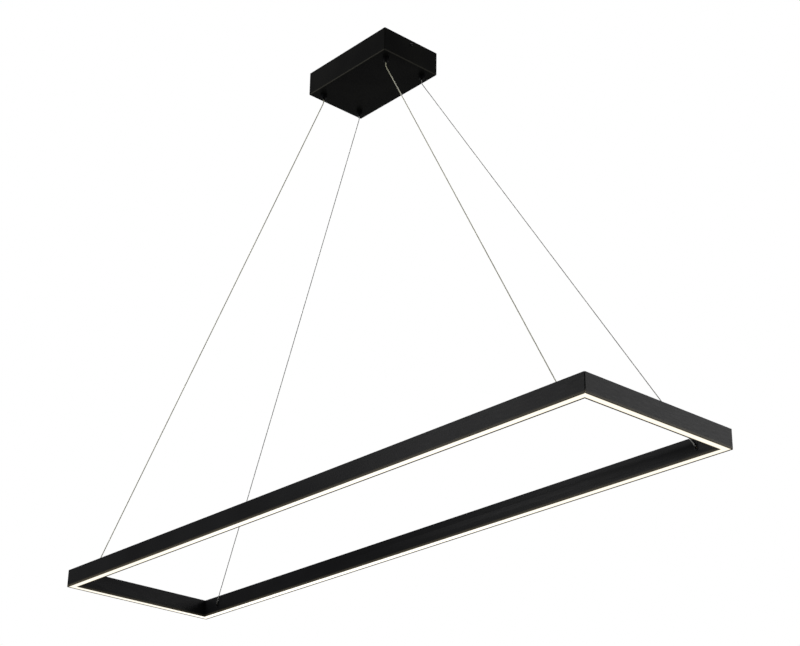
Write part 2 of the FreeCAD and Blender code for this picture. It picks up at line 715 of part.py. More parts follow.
def led_driver():
    """Moulded case with a fixing ear at each end."""
    body = new_body("led_driver")
    ears = plane_sketch(body, "XY_Plane", "driver_ears")
    reach = "(driver_length / 2 + ear_length)"
    rectangle(ears, "-" + reach, reach, "-ear_width / 2", "ear_width / 2")
    pad(body, ears, "ear_thickness")
    case = plane_sketch(body, "XY_Plane", "driver_case")
    rectangle(case, "-driver_length / 2", "driver_length / 2",
              "-driver_width / 2", "driver_width / 2")
    solid = pad(body, case, "driver_height")
    half_width = size("driver_width") / 2
    fillet(body, solid, "driver_rounding", lambda edge: upright_edge(edge)
           and abs(edge.BoundBox.YMax) > half_width - 0.001
           and abs(edge.BoundBox.YMin) > half_width - 0.001)
    holes = plane_sketch(body, "XY_Plane", "driver_ear_holes")
    for side in (-1, 1):
        ring(holes, signed(side, STUD_X), "0", "stud_diameter + 2 * screw_play")
    pocket(body, holes)
    return body


block_screw = pan_screw("terminal_screw", "block_screw_diameter",
                        "(block_height - block_screw_sink + bracket_thickness)",
                        "block_screw_head", "(block_screw_sink / 2)")
block_seat = "-(bracket_thickness + block_height - block_screw_sink)"
place(block_screw, BLOCK_X, "0", block_seat)

CANOPY_FLOOR = "(sheet_thickness - canopy_height)"
stud_nuts = []
for side, name in ((-1, "left"), (1, "right")):
    nut = hex_nut("driver_nut_" + name, "stud_nut_across", "stud_nut_height",
                  "stud_diameter + 2 * thread_play")
    stud_nuts.append(place(nut, signed(side, STUD_X), "0", CANOPY_FLOOR + " + ear_thickness"))

canopy_nodes += [
    place(terminal_block(), BLOCK_X, "0", "-bracket_thickness"), block_screw,
    place(led_driver(), "0", "0", CANOPY_FLOOR), group("driver_nuts", stud_nuts),
]


# ---------------------------------------------------------------------------------------
# Cable grippers: body, nut, plunger, balls and spring
# Drawn with the canopy's underside at Z 0.
# ---------------------------------------------------------------------------------------

def gripper_body(label):
    """Turned body: guide bore, cone that narrows downwards, spring chamber, closed top."""
    face, cone_foot = "-gripper_drop", "cone_foot - gripper_drop"
    cone_top = "cone_foot + cone_height - gripper_drop"
    guide, chamber = "guide_diameter / 2", "chamber_diameter / 2"
    outer, shank = "gripper_diameter / 2", "shank_diameter / 2"
    chamber_top = "shank_rise - shank_cap"
    cable_hole = "cable_diameter / 2 + cable_play"
    return turned(label, (
        (guide, face), (outer + " - gripper_chamfer", face),
        (outer, face + " + gripper_chamfer"), (outer, "0"), (shank, "0"),
        (shank, "shank_rise"), (cable_hole, "shank_rise"), (cable_hole, chamber_top),
        (chamber, chamber_top), (chamber, cone_top), (guide, cone_foot),
    ))


def gripper_plunger(label):
    """Tube round the cable, pressed upwards to lift the balls out of the cone."""
    outer, bore = "guide_diameter / 2 - plunger_play", "cable_diameter / 2 + cable_play"
    nose, top = "-(gripper_drop + nose_drop)", "plunger_rise - gripper_drop"
    body = turned(label, (
        (bore, nose), (outer + " - nose_chamfer", nose), (outer, nose + " + nose_chamfer"),
        (outer, top), (bore, top),
    ))
    window = plane_sketch(body, "XZ_Plane", label + "_window")
    middle = "ball_level - gripper_drop"
    rectangle(window, "-ball_window / 2", "ball_window / 2",
              middle + " - ball_window / 2", middle + " + ball_window / 2")
    cut = pocket(body, window, "guide_diameter")
    doc.recompute()
    windows = body.newObject("PartDesign::PolarPattern", label + "_windows")
    windows.Originals = [cut]
    windows.Axis = (origin_feature(body, "Z_Axis"), [""])
    windows.Angle = 360
    windows.setExpression("Occurrences", bound("ball_count"))
    body.Tip = windows
    return body


def ball(label):
    """A small ball drawn with flats: bands of eight round Z between its two poles."""
    radius, corners, bands = size("ball_diameter") / 2, 8, 4

    def corner_point(band, corner):
        tilt, angle = math.pi * band / bands, 2 * math.pi * corner / corners
        reach = radius * math.sin(tilt)
        return Vector(reach * math.cos(angle), reach * math.sin(angle), radius * math.cos(tilt))

    faces = []
    for band in range(bands):
        for corner in range(corners):
            low = [corner_point(band + 1, corner), corner_point(band + 1, corner + 1)]
            high = [corner_point(band, corner + 1), corner_point(band, corner)]
            low, high = (low[:1] if band == bands - 1 else low), (high[:1] if band == 0 else high)
            faces.append(Part.Face(Part.makePolygon(low + high + low[:1])))
    feature = doc.addObject("Part::Feature", label)
    feature.Shape = Part.makeSolid(Part.makeShell(faces))
    return feature


def gripper_balls(label, x, y):
    """Balls between the cable and the cone, one in each window of the plunger."""
    balls = []
    count = int(size("ball_count"))
    for index in range(count):
        out = "((cable_diameter + ball_diameter) / 2 + ball_play)"
        angle = math.radians(90 + 360 * index / count)
        balls.append(place(ball("%s_%d" % (label, index + 1)),
                           "%s + %s * (%.9f)" % (x, out, math.cos(angle)),
                           "%s + %s * (%.9f)" % (y, out, math.sin(angle)),
                           GRIPPER_FACE + " + ball_level"))
    return group(label, balls)


def plunger_spring(label, x, y):
    """Coil between the plunger's top and the closed end of the shank, ends set square."""
    wire, radius = size("spring_wire"), size("spring_diameter") / 2
    end_gap = wire / 2 + size("spring_play")
    floor = size("plunger_rise") - size("gripper_drop") + end_gap
    roof = size("shank_rise") - size("shank_cap") - end_gap
    steps_per_turn = 8
    steps = int(size("spring_turns")) * steps_per_turn
    points = []
    for step in range(steps + 1):
        climb = min(max((step - steps_per_turn / 2) / (steps - steps_per_turn), 0), 1)
        angle = 2 * math.pi * step / steps_per_turn
        points.append(Vector(radius * math.cos(angle), radius * math.sin(angle),
                             floor + (roof - floor) * climb))
    path = Part.makePolygon(points)
    half = wire / 2
    section = Part.makePolygon([points[0] + Vector(across, 0, up) for across, up in (
        (-half, -half), (half, -half), (half, half), (-half, half), (-half, -half))])
    spring = doc.addObject("Part::Feature", label)
    spring.Label = label
    spring.Shape = path.makePipeShell([section], True, False, 1)
    return place(spring, x, y, CANOPY_UNDERSIDE)


gripper_bodies, gripper_nuts, cable_stops = [], [], []
plunger_nodes = []
for name, side_x, side_y in CORNERS:
    x, y = signed(side_x, GRIPPER_X), signed(side_y, GRIPPER_Y)
    gripper_bodies.append(place(gripper_body("gripper_body_" + name), x, y, CANOPY_UNDERSIDE))
    plunger = gripper_plunger("gripper_plunger_" + name)
    plunger_nodes.append(place(plunger, x, y, CANOPY_UNDERSIDE))
    plunger_nodes.append(gripper_balls("gripper_balls_" + name, x, y))
    canopy_nodes.append(plunger_spring("plunger_spring_" + name, x, y))
    nut = hex_nut("gripper_nut_" + name, "gripper_nut_across", "gripper_nut_height",
                  "shank_diameter + 2 * thread_play")
    gripper_nuts.append(place(nut, x, y, CANOPY_FLOOR))

    stop = hex_crimp("cable_stop_" + name, "stop_across", "stop_length")
    cable_stops.append(place(stop, x, y, CANOPY_UNDERSIDE + " + tail_rise", turn=30))
canopy_nodes.append(group("gripper_bodies", gripper_bodies))
canopy_nodes.append(group("gripper_nuts", gripper_nuts))
canopy_nodes.append(group("cable_stops", cable_stops))


# ---------------------------------------------------------------------------------------
# Cables and leads: straight runs joined by tangent arcs
# ---------------------------------------------------------------------------------------

def smooth_path(points):
    """Runs between the points, with an arc at each inner one as large as its runs allow."""
    edges, radii = [], []
    start = points[0]
    for before, corner, after in zip(points, points[1:], points[2:]):
        incoming, outgoing = corner - before, after - corner
        half_turn = incoming.getAngle(outgoing) / 2
        setback = 0.45 * min(incoming.Length, outgoing.Length)
        radii.append(setback / math.tan(half_turn))
        incoming.normalize()
        outgoing.normalize()
        enter, leave = corner - incoming * setback, corner + outgoing * setback
        inward = outgoing - incoming
        inward.normalize()
        depth = radii[-1] / math.cos(half_turn) - radii[-1]
        edges.append(Part.LineSegment(start, enter).toShape())
        edges.append(Part.Arc(enter, corner + inward * depth, leave).toShape())
        start = leave
    edges.append(Part.LineSegment(start, points[-1]).toShape())
    return Part.Wire(edges), radii


CORD_SIDES = 6


def tube(label, points, diameter):
    """A cord along the smooth path through its points, drawn with six sides."""
    path, radii = smooth_path(points)
    to_path = Rotation(Vector(0, 0, 1), points[1] - points[0])
    angles = [2 * math.pi * corner / CORD_SIDES for corner in range(CORD_SIDES + 1)]
    section = Part.makePolygon([
        points[0] + to_path.multVec(Vector(math.cos(angle), math.sin(angle), 0)) * (diameter / 2)
        for angle in angles])
    shape = path.makePipeShell([section], True, False)
    area = CORD_SIDES / 2 * math.sin(2 * math.pi / CORD_SIDES) * (diameter / 2) ** 2
    wanted = area * path.Length
    print("%s: length %.1f, radii %s, volume %.4f of its section times its length"
          % (label, path.Length, ["%.1f" % radius for radius in radii], shape.Volume / wanted))
    feature = doc.addObject("Part::Feature", label)
    feature.Label = label
    feature.Shape = shape
    return feature


gripper_x = size("canopy_length") / 2 - size("gripper_inset_x")
gripper_y = size("canopy_width") / 2 - size("gripper_inset_y")
block_x = size("canopy_length") / 2 - size("block_inset")
ground_x = size("canopy_length") / 2 - size("ground_inset")


def cable(label, side_x, side_y):
    """From the gripper's nose straight down, out to the frame, and into the rail's bush."""
    foot = -size("canopy_height") - size("hang_drop")
    nose = -size("canopy_height") - size("gripper_drop") - size("nose_drop")
    wall = size("frame_width") / 2 - size("rail_width")
    top_x, top_y = side_x * gripper_x, side_y * gripper_y
    entry_x = side_x * (size("frame_length") / 2 - size("entry_inset"))
    entry_z = foot + size("entry_level")
    return tube(label, [
        Vector(top_x, top_y, nose),
        Vector(top_x, top_y, nose - size("cable_lead_in")),
        Vector(entry_x, side_y * (wall - size("cable_stand_off")), entry_z),
        Vector(entry_x, side_y * (wall + size("rail_wall")), entry_z),
    ], size("cable_diameter"))


def cable_tail(label, side_x, side_y):
    """The same cable through the gripper and up to its stop."""
    nose = -size("canopy_height") - size("gripper_drop") - size("nose_drop")
    end = size("tail_rise") - size("canopy_height")
    x, y = side_x * gripper_x, side_y * gripper_y
    return tube(label, [Vector(x, y, nose), Vector(x, y, end)], size("cable_diameter"))


for name, side_x, side_y in CORNERS:
    canopy_nodes.append(cable("cable_" + name, side_x, side_y))
    canopy_nodes.append(cable_tail("cable_tail_" + name, side_x, side_y))

floor_level = size("sheet_thickness") - size("canopy_height")
driver_end = size("driver_length") / 2
port_level = floor_level + size("driver_height") / 2
block_foot = -size("bracket_thickness") - size("block_height")
lead_size = size("lead_diameter")
for name, side in (("live_lead", -1), ("neutral_lead", 1)):
    pole = side * size("pole_pitch")
    canopy_nodes.append(tube(name, [
        Vector(block_x, pole, block_foot),
        Vector(block_x, pole, port_level),
        Vector(driver_end, pole, port_level),
    ], lead_size))

# the earth lead is short: from the side of its screw's head to the block beside it
ground_edge = ground_x + size("ground_screw_head") / 2
ground_y = -size("ground_side")
ground_z = -size("bracket_thickness") - size("ground_screw_head_height") / 2
canopy_nodes.append(tube("ground_lead", [
    Vector(ground_edge, ground_y, ground_z),
    Vector(block_x - size("block_length") / 2, ground_y, ground_z),
], lead_size))

# the two output leads run from the driver to flats of the stops of the two near cables
stop_z = -size("canopy_height") + size("tail_rise") + size("stop_length") / 2
flat = size("stop_across") / 2
left_flat = Vector(math.cos(math.radians(60)), math.sin(math.radians(60)), 0)
left_stop = Vector(-gripper_x, -gripper_y, stop_z)
canopy_nodes.append(tube("output_lead_left", [
    Vector(-driver_end, -6, port_level), Vector(-driver_end - 9, -6, port_level),
    Vector(-driver_end - 16, -12, port_level + 3), Vector(-driver_end - 15, -23, stop_z - 1.5),
    left_stop + left_flat * (flat + 8), left_stop + left_flat * flat,
], lead_size))
canopy_nodes.append(tube("output_lead_right", [
    Vector(-driver_end, -15, port_level), Vector(-driver_end - 8, -15, port_level),
    Vector(-driver_end - 14, -22, port_level + 1.5), Vector(-driver_end - 9, -31, port_level + 3),
    Vector(-driver_end + 8, -33, port_level + 4), Vector(-20, -33.5, port_level + 5),
    Vector(18, -32, port_level + 4), Vector(gripper_x - 36, -33, port_level + 6),
    Vector(gripper_x - 20, 3 - gripper_y, stop_z - 1),
    Vector(gripper_x - 10, -gripper_y, stop_z), Vector(gripper_x - flat, -gripper_y, stop_z),
], lead_size))

# the feed wires run from the near ferrules along the rail and down onto the LED strip
ferrule_end = size("frame_width") / 2 - size("rail_width") + size("rail_wall") \
    + size("ferrule_length")
chamber_middle = size("frame_width") / 2 - size("rail_width") / 2
feed_z = -size("canopy_height") - size("hang_drop") + size("entry_level")
strip_top = feed_z - size("entry_level") + size("shelf_level")
feed_wires = []
for name, side in (("left", -1), ("right", 1)):
    entry_x = size("frame_length") / 2 - size("entry_inset")
    hole_x = entry_x - size("feed_step")
    feed_wires.append(tube("feed_wire_" + name, [
        Vector(side * entry_x, -ferrule_end, feed_z),
        Vector(side * entry_x, -ferrule_end - 3.6, feed_z),
        Vector(side * (entry_x - 2.5), -ferrule_end - 5.8, feed_z + 0.8),
        Vector(side * (entry_x - 10), -ferrule_end - 4.8, feed_z + 4),
        Vector(side * (entry_x - 21), -chamber_middle - 0.5, feed_z + 7),
        Vector(side * hole_x, -chamber_middle, feed_z + 6),
        Vector(side * hole_x, -chamber_middle, strip_top),
    ], size("feed_diameter")))
frame_nodes.append(group("feed_wires", feed_wires))


# ---------------------------------------------------------------------------------------
# Checks and files
# ---------------------------------------------------------------------------------------

doc.recompute()
nodes = canopy_nodes + plunger_nodes + frame_nodes
failed = [item.Name for item in doc.Objects if {"Invalid", "Error"} & set(item.State)]
if failed:
    raise RuntimeError("these objects failed: %s" % failed)
for node in nodes:
    if node.Shape.isNull() or not node.Shape.isValid() or not node.Shape.Solids:
        raise RuntimeError("%s has no valid solid" % node.Label)

os.makedirs("parts", exist_ok=True)
for node in nodes:
    node.Shape.exportStep("parts/%s.step" % node.Label)
print("%d nodes written" % len(nodes))
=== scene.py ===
# %% [markdown]
# # A linear island pendant
# A long rectangular light frame of black aluminium rails glows from below through opal
# covers. Four thin steel cables carry it from a sheet-steel canopy on the ceiling. The
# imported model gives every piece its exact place, so here we only make it look real: the
# round pieces get round surfaces, the edges get their small radii, and each part gets the
# finish that it has in a workshop.

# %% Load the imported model
import json
import math
import bmesh
import bpy
import numpy as np
from mathutils import Matrix, Vector


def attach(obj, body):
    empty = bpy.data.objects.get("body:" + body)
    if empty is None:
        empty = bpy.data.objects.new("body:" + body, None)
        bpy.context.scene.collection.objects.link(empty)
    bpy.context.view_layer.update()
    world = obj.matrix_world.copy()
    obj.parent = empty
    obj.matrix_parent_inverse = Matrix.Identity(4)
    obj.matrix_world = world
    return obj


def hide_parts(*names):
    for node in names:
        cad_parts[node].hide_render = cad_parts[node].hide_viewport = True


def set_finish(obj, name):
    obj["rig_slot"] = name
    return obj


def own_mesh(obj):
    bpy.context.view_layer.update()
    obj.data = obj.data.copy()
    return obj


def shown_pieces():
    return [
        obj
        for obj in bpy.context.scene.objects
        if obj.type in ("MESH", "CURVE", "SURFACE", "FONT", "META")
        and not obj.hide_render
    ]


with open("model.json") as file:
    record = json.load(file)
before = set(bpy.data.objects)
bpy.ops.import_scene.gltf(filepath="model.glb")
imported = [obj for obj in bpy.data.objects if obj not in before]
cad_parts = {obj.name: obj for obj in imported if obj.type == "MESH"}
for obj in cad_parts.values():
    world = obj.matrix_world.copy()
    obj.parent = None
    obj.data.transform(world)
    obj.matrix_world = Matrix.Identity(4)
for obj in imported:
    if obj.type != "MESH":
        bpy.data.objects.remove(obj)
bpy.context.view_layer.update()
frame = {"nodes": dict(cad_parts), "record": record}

nodes = frame["nodes"]
CORNERS = {"near_left": (-1, -1), "near_right": (1, -1), "far_right": (1, 1), "far_left": (-1, 1)}

# %% Sizes that several pieces share, in millimetres, with the ceiling at height 0
MM = 0.001
HALF_CANOPY_X, HALF_CANOPY_Y, CANOPY_DEPTH = 100, 60, 44
SHEET, COVER_BEND = 1.2, 1.8
GRIPPER_X, GRIPPER_Y = 82, 41
HALF_FRAME_X, HALF_FRAME_Y, RAIL_WIDTH = 610, 149, 14.5
FRAME_TOP, FRAME_FOOT = -814, -844
print("frame", 2 * HALF_FRAME_X, "by", 2 * HALF_FRAME_Y, "mm")

# %% [markdown]
# ## The camera
# The photographer stood below the frame and looked up along it with a long lens. A camera
# could be aimed by hand, but straight edges in a picture fix it fully: these axes were
# solved from the rails and the canopy. A camera looks along its own -Z with +Y upwards, so
# the matrix takes the picture's right, its up and its backward direction as columns.

# %% Camera
camera = bpy.data.objects.new("camera", bpy.data.cameras.new("camera"))
bpy.context.scene.collection.objects.link(camera)
picture_right = Vector((0.66666263, 0.74523724, 0.01350521))
picture_up = Vector((0.30179285, -0.28645187, 0.90932195))
backward = Vector((0.68152917, -0.60213519, -0.41587403))
axes = Matrix((picture_right, picture_up, backward)).transposed()
camera.matrix_world = Matrix.Translation((2.079710, -1.765135, -1.743462)) @ axes.to_4x4()
camera.data.sensor_fit = "HORIZONTAL"
camera.data.sensor_width = 36
camera.data.lens = 82.702
bpy.context.scene.camera = camera
print("camera at", tuple(camera.location))

# %% [markdown]
# ## Surfaces from grids
# Cables, leads, nuts, screws and springs are all one idea: a closed outline carried along a
# line, or turned round an axis. Blender could add a cylinder and edit it, but a grid of
# points worked out as one array is exact, and the same few lines make every piece. The grid
# is joined to itself where it closes, its poles are merged, and its faces turned outwards.

# %% A mesh from grids of points
def grid_piece(name, grids, joined=(True, True), sharp=35):
    """A mesh from an array of grids, shaped (grids, rows, columns, 3).

    The face at row i and column j has the corners (i, j), (i + 1, j), (i + 1, j + 1) and
    (i, j + 1). Rows or columns that are joined also link their last line to their first.
    """
    grids = np.asarray(grids, float)
    count, rows, columns = grids.shape[:3]
    numbers = np.arange(count * rows * columns).reshape(count, rows, columns)
    down = np.roll(numbers, -1, 1) if joined[0] else numbers[:, 1:]
    here = numbers if joined[0] else numbers[:, :-1]
    across, down_across = np.roll(here, -1, 2), np.roll(down, -1, 2)
    faces = np.stack([here, down, down_across, across], -1)
    if not joined[1]:
        faces = faces[:, :, :-1]
    mesh = bpy.data.meshes.new(name)
    mesh.from_pydata(grids.reshape(-1, 3), [], faces.reshape(-1, 4).tolist())
    return finished_piece(name, mesh, sharp)


def finished_piece(name, mesh, sharp):
    """Merge doubled points, turn the faces outwards, and shade smooth up to an angle."""
    work = bmesh.new()
    work.from_mesh(mesh)
    bmesh.ops.remove_doubles(work, verts=work.verts, dist=1e-7)
    bmesh.ops.recalc_face_normals(work, faces=work.faces)
    work.to_mesh(mesh)
    work.free()
    mesh.polygons.foreach_set("use_smooth", np.ones(len(mesh.polygons), bool))
    mesh.set_sharp_from_angle(angle=math.radians(sharp))
    piece = bpy.data.objects.new(name, mesh)
    bpy.context.scene.collection.objects.link(piece)
    return piece


def stands_for(piece, body, slot, *hidden):
    """The piece moves with a body, takes a slot's finish and replaces the hidden nodes."""
    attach(piece, body)
    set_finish(piece, slot)
    if hidden:
        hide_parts(*hidden)
    print(piece.name, len(piece.data.polygons), "faces, on", body)


# %% A round outline carried along a line
def directions(line):
    """Two unit vectors at each point of a line, square to it and to each other.

    The first is carried from point to point by taking out of the last one what has come to
    lie along the new tangent, so that an outline doesn't twist by itself. The second is the
    cross product of tangent and first.
    """
    tangents = np.gradient(line, axis=0)
    tangents /= np.linalg.norm(tangents, axis=1, keepdims=True)
    side = np.cross(tangents[0], (0, 1, 0) if abs(tangents[0][1]) < 0.9 else (1, 0, 0))
    sides = []
    for tangent in tangents:
        side = side - tangent * (side @ tangent)
        side = side / np.linalg.norm(side)
        sides.append(side)
    return np.array(sides), np.cross(tangents, sides)


def carried_outline(line, radius, turn=0.0, steps=12):
    """Grid of rings along a line: point (i, j) = line i + radius * (side cos a + up sin a).

    The angle a is 2 pi j / steps plus the turn at that ring. Radius is a number, or one
    value for each step of the outline. A last ring of zero radius at each end closes it.
    """
    sides, ups = directions(line)
    angles = 2 * math.pi * np.arange(steps) / steps
    turned = angles[None, :] + np.broadcast_to(turn, len(line))[:, None]
    reach = np.broadcast_to(radius, (len(line), steps))
    rings = line[:, None] + reach[..., None] * (
        sides[:, None] * np.cos(turned)[..., None] + ups[:, None] * np.sin(turned)[..., None])
    ends = [np.repeat(line[i][None, None], steps, 1) for i in (0, -1)]
    return np.concatenate([ends[0], rings, ends[1]])


# %% [markdown]
# ## The suspension cables
# Each cable is a steel wire rope of 1.5 mm: six strands laid round a seventh. The near pair
# wears a thin sheath as well. A cable leaves the gripper's nose straight down, turns into
# its slant and ends in a crimp behind the rail's wall. A plain tube would do from far away,
# but the lay of the strands is what makes the light break up along it. The line is a smooth
# NURBS curve that the same few points steer as in the solid; the outline of six touching
# circles is carried along it and turned once for every 10 mm.

# %% Smooth lines through the route's points
def smooth_line(name, points, spacing):
    """Evenly spaced points along the NURBS curve of third order that the points steer.

    Distance along the curve is the running sum of its steps; each coordinate is then read
    off at equal distances.
    """
    curve = bpy.data.curves.new(name, "CURVE")
    curve.dimensions = "3D"
    curve.resolution_u = 64
    spline = curve.splines.new("NURBS")
    spline.points.add(len(points) - 1)
    spline.points.foreach_set("co", np.hstack([points, np.ones((len(points), 1))]).ravel())
    spline.order_u = min(3, len(points))
    spline.use_endpoint_u = True
    holder = bpy.data.objects.new(name, curve)
    read = bpy.data.meshes.new_from_object(holder)
    line = np.zeros(len(read.vertices) * 3)
    read.vertices.foreach_get("co", line)
    line = line.reshape(-1, 3)
    bpy.data.objects.remove(holder)
    bpy.data.meshes.remove(read)
    along = np.append(0, np.cumsum(np.linalg.norm(np.diff(line, axis=0), axis=1)))
    stops = np.linspace(0, along[-1], max(2, round(along[-1] / spacing) + 1))
    return np.stack([np.interp(stops, along, line[:, axis]) for axis in range(3)], 1), along[-1]


CABLE_TOP, CABLE_FOOT = -0.0540, -0.8290
# in metres: nose, below the nose, two points that keep the long run straight, wall, crimp
CABLE_ROUTE = np.array([
    (0.0820, 0.0410, CABLE_TOP), (0.0820, 0.0410, -0.0600), (0.0851, 0.0416, -0.0651),
    (0.5549, 0.1317, -0.8255), (0.5570, 0.1321, CABLE_FOOT), (0.5570, 0.1362, CABLE_FOOT),
])
TAIL_ROUTE = np.array([(0.0820, 0.0410, -0.0260), (0.0820, 0.0410, CABLE_TOP)])
CABLE_RADIUS = 0.75 * MM
SHEATH_RADIUS = 0.9 * MM
LAY = 10 * MM
RINGS_PER_LAY = 8


def rope_outline(radius, steps=24):
    """Distance from the rope's middle to its surface, for each step round it.

    Six circles of a third of the radius touch each other at twice that distance from the
    middle. At an angle d from the nearest one, the surface lies at
    2 s cos d + root(s^2 - (2 s sin d)^2), where s is the strand's radius.
    """
    strand = radius / 3
    angles = 2 * math.pi * np.arange(steps) / steps
    off = (angles + math.pi / 6) % (math.pi / 3) - math.pi / 6
    inside = np.maximum(strand ** 2 - (2 * strand * np.sin(off)) ** 2, 0)
    return 2 * strand * np.cos(off) + np.sqrt(inside)


def rope(name, route, outline):
    """An outline carried along a route and turned by length / lay; and the rope's length."""
    line, length = smooth_line(name, route, LAY / RINGS_PER_LAY)
    turn = 2 * math.pi * np.linspace(0, length, len(line)) / LAY
    piece = grid_piece(name, [carried_outline(line, outline, turn, len(outline))],
                       (False, True), sharp=80)
    return piece, length


# %% Cables, with the part of each that runs on inside its gripper
BARE = rope_outline(CABLE_RADIUS)
# the sheath is extruded over the rope and only hints at the strands below it
SHEATHED = 0.65 * SHEATH_RADIUS + 0.35 * rope_outline(SHEATH_RADIUS)
for corner, (side_x, side_y) in CORNERS.items():
    sides = np.array((side_x, side_y, 1.0))
    outline = BARE if side_y > 0 else SHEATHED
    cable, length = rope("wire_rope_" + corner, CABLE_ROUTE * sides, outline)
    stands_for(cable, "canopy", "suspension_cable", "cable_" + corner)
    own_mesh(cable)
    tail, _ = rope("wire_rope_tail_" + corner, TAIL_ROUTE * sides, BARE)
    stands_for(tail, "canopy", "suspension_cable", "cable_tail_" + corner)
    print(corner, "cable is %.1f mm long" % (length / MM))

# %% [markdown]
# ## Leads and feed wires
# Inside the canopy, stranded copper wires in PVC go from the terminal block to the driver
# and on to the two near cables; thinner ones run inside the near rail. They are held at
# both ends and bend in easy curves, so each is the same carried circle along a smooth line.

# %% Leads
# each lead's diameter and its routes, all in millimetres
LEADS = {
    "live_lead": (2.0, [[(78, -8, -12.5), (78, -8, -31.8), (59, -8, -31.8)]]),
    "neutral_lead": (2.0, [[(78, 8, -12.5), (78, 8, -31.8), (59, 8, -31.8)]]),
    "ground_lead": (2.0, [[(66.7, -9, -2.6), (71, -9, -2.6)]]),
    "output_lead_left": (2.0, [[
        (-59, -6, -31.8), (-68, -6, -31.8), (-75, -12, -28.8), (-74, -23, -25),
        (-77.15, -32.6, -23.5), (-81.15, -39.53, -23.5)]]),
    "output_lead_right": (2.0, [[
        (-59, -15, -31.8), (-67, -15, -31.8), (-73, -22, -30.3), (-68, -31, -28.8),
        (-51, -33, -27.8), (-20, -33.5, -26.8), (18, -32, -27.8), (46, -33, -25.8),
        (62, -38, -24.5), (72, -41, -23.5), (80.3, -41, -23.5)]]),
    "feed_wires": (1.2, [[
        (side * 557, -140.2, -829), (side * 557, -143.8, -829), (side * 554.5, -146, -828.2),
        (side * 547, -145, -825), (side * 536, -142.25, -822), (side * 525, -141.75, -823),
        (side * 525, -141.75, -835.5)] for side in (-1, 1)]),
}
slot_of = {row["node"]: row["material_slot"] for row in frame["record"]["subparts"]}
for name, (diameter, routes) in LEADS.items():
    grids = [carried_outline(smooth_line(name, np.array(route) * MM, 1 * MM)[0],
                             diameter / 2 * MM, 0.0, 16) for route in routes]
    lead = grid_piece("wire_" + name, grids, (False, True))
    stands_for(lead, "light_frame" if name == "feed_wires" else "canopy", slot_of[name], name)

# %% [markdown]
# ## Turned pieces
# Gripper bodies, nuts, screws, studs and balls come off a lathe or a thread roller. A
# profile of radii and heights is turned round its axis; where the radius also depends on
# the angle, the same grid gives a hexagon, a screw thread or the cross in a screw's head.

# %% Profiles turned round an axis
def turn_profile(radii, heights, steps):
    """Grid of points (r cos a, r sin a, z) for each profile point and each angle a.

    Radii and heights are one value for each profile point, or a table of them by angle.
    """
    angles = 2 * math.pi * np.arange(steps) / steps
    radii = np.broadcast_to(np.reshape(radii, (len(radii), -1)), (len(radii), steps))
    heights = np.broadcast_to(np.reshape(heights, (len(heights), -1)), radii.shape)
    return np.stack([radii * np.cos(angles), radii * np.sin(angles), heights], -1)


def thread(low, high, radius, pitch, depth, steps):
    """Radii and heights of a screw thread: rows from low to high, six rows to a pitch.

    The groove is a triangle wave of the height less the share of a turn, and it fades out
    over one pitch at both ends.
    """
    rows = round((high - low) / pitch * 6) + 1
    heights = np.linspace(low, high, rows)
    turns = np.arange(steps) / steps
    phase = (heights[:, None] / pitch - turns[None, :]) % 1
    fade = np.clip(np.minimum(heights - low, high - heights) / pitch, 0, 1)[:, None]
    radii = radius - depth * fade * np.abs(2 * phase - 1)
    return radii, np.repeat(heights[:, None], steps, 1)


def stack(parts, steps):
    """Join profile pieces, each a pair of radii and heights, into one table by angle."""
    tables = []
    for column in (0, 1):
        rows = [np.atleast_2d(np.asarray(part[column], float).reshape(len(part[column]), -1))
                for part in parts]
        tables.append(np.vstack([np.broadcast_to(row, (len(row), steps)) for row in rows]))
    return tables


# %% Gripper bodies
GRIPPERS = np.array([(GRIPPER_X * side_x, GRIPPER_Y * side_y, -CANOPY_DEPTH)
                     for side_x, side_y in CORNERS.values()])


def placed(grid, places):
    """The same grid at several places, in metres."""
    return (grid[None] + np.asarray(places, float)[:, None, None]) * MM


STEPS = 48
quarter = np.linspace(0, math.pi / 2, 5)
mouth = ((2.45, 2.6), (-6.85, -7))
rim = (4.7 + 0.5 * np.sin(quarter), -6.5 - 0.5 * np.cos(quarter))
seat = ((5.2, 5.0, 4.0), (-0.2, 0, 0))
shank = thread(low=0.2, high=11.4, radius=4, pitch=0.75, depth=0.24, steps=STEPS)
# the top with the cable's hole, the spring's chamber, the balls' cone, the plunger's guide
inside = ((3.6, 0.95, 0.95, 3.05, 3.05, 2.45, 2.45), (12, 12, 10.8, 10.8, 2, -4, -6.85))
profile = stack([mouth, rim, seat, shank, inside], STEPS)
bodies = grid_piece("turned_grippers", placed(turn_profile(*profile, STEPS), GRIPPERS))
stands_for(bodies, "canopy", "black_gripper", "gripper_bodies")

# %% [markdown]
# ## Nuts
# A hexagon nut is cut from hexagon bar and then faced on a lathe, which leaves a round
# chamfer that bites the six corners. One could bevel a prism, but the same thing falls out
# of a formula: at each angle and height the surface is at the hexagon or at the cone of the
# chamfer, whichever lies further in.

# %% Hexagon nuts
FINE_STEPS = 72
STUD_X, EAR_TOP = 62.5, -40.8


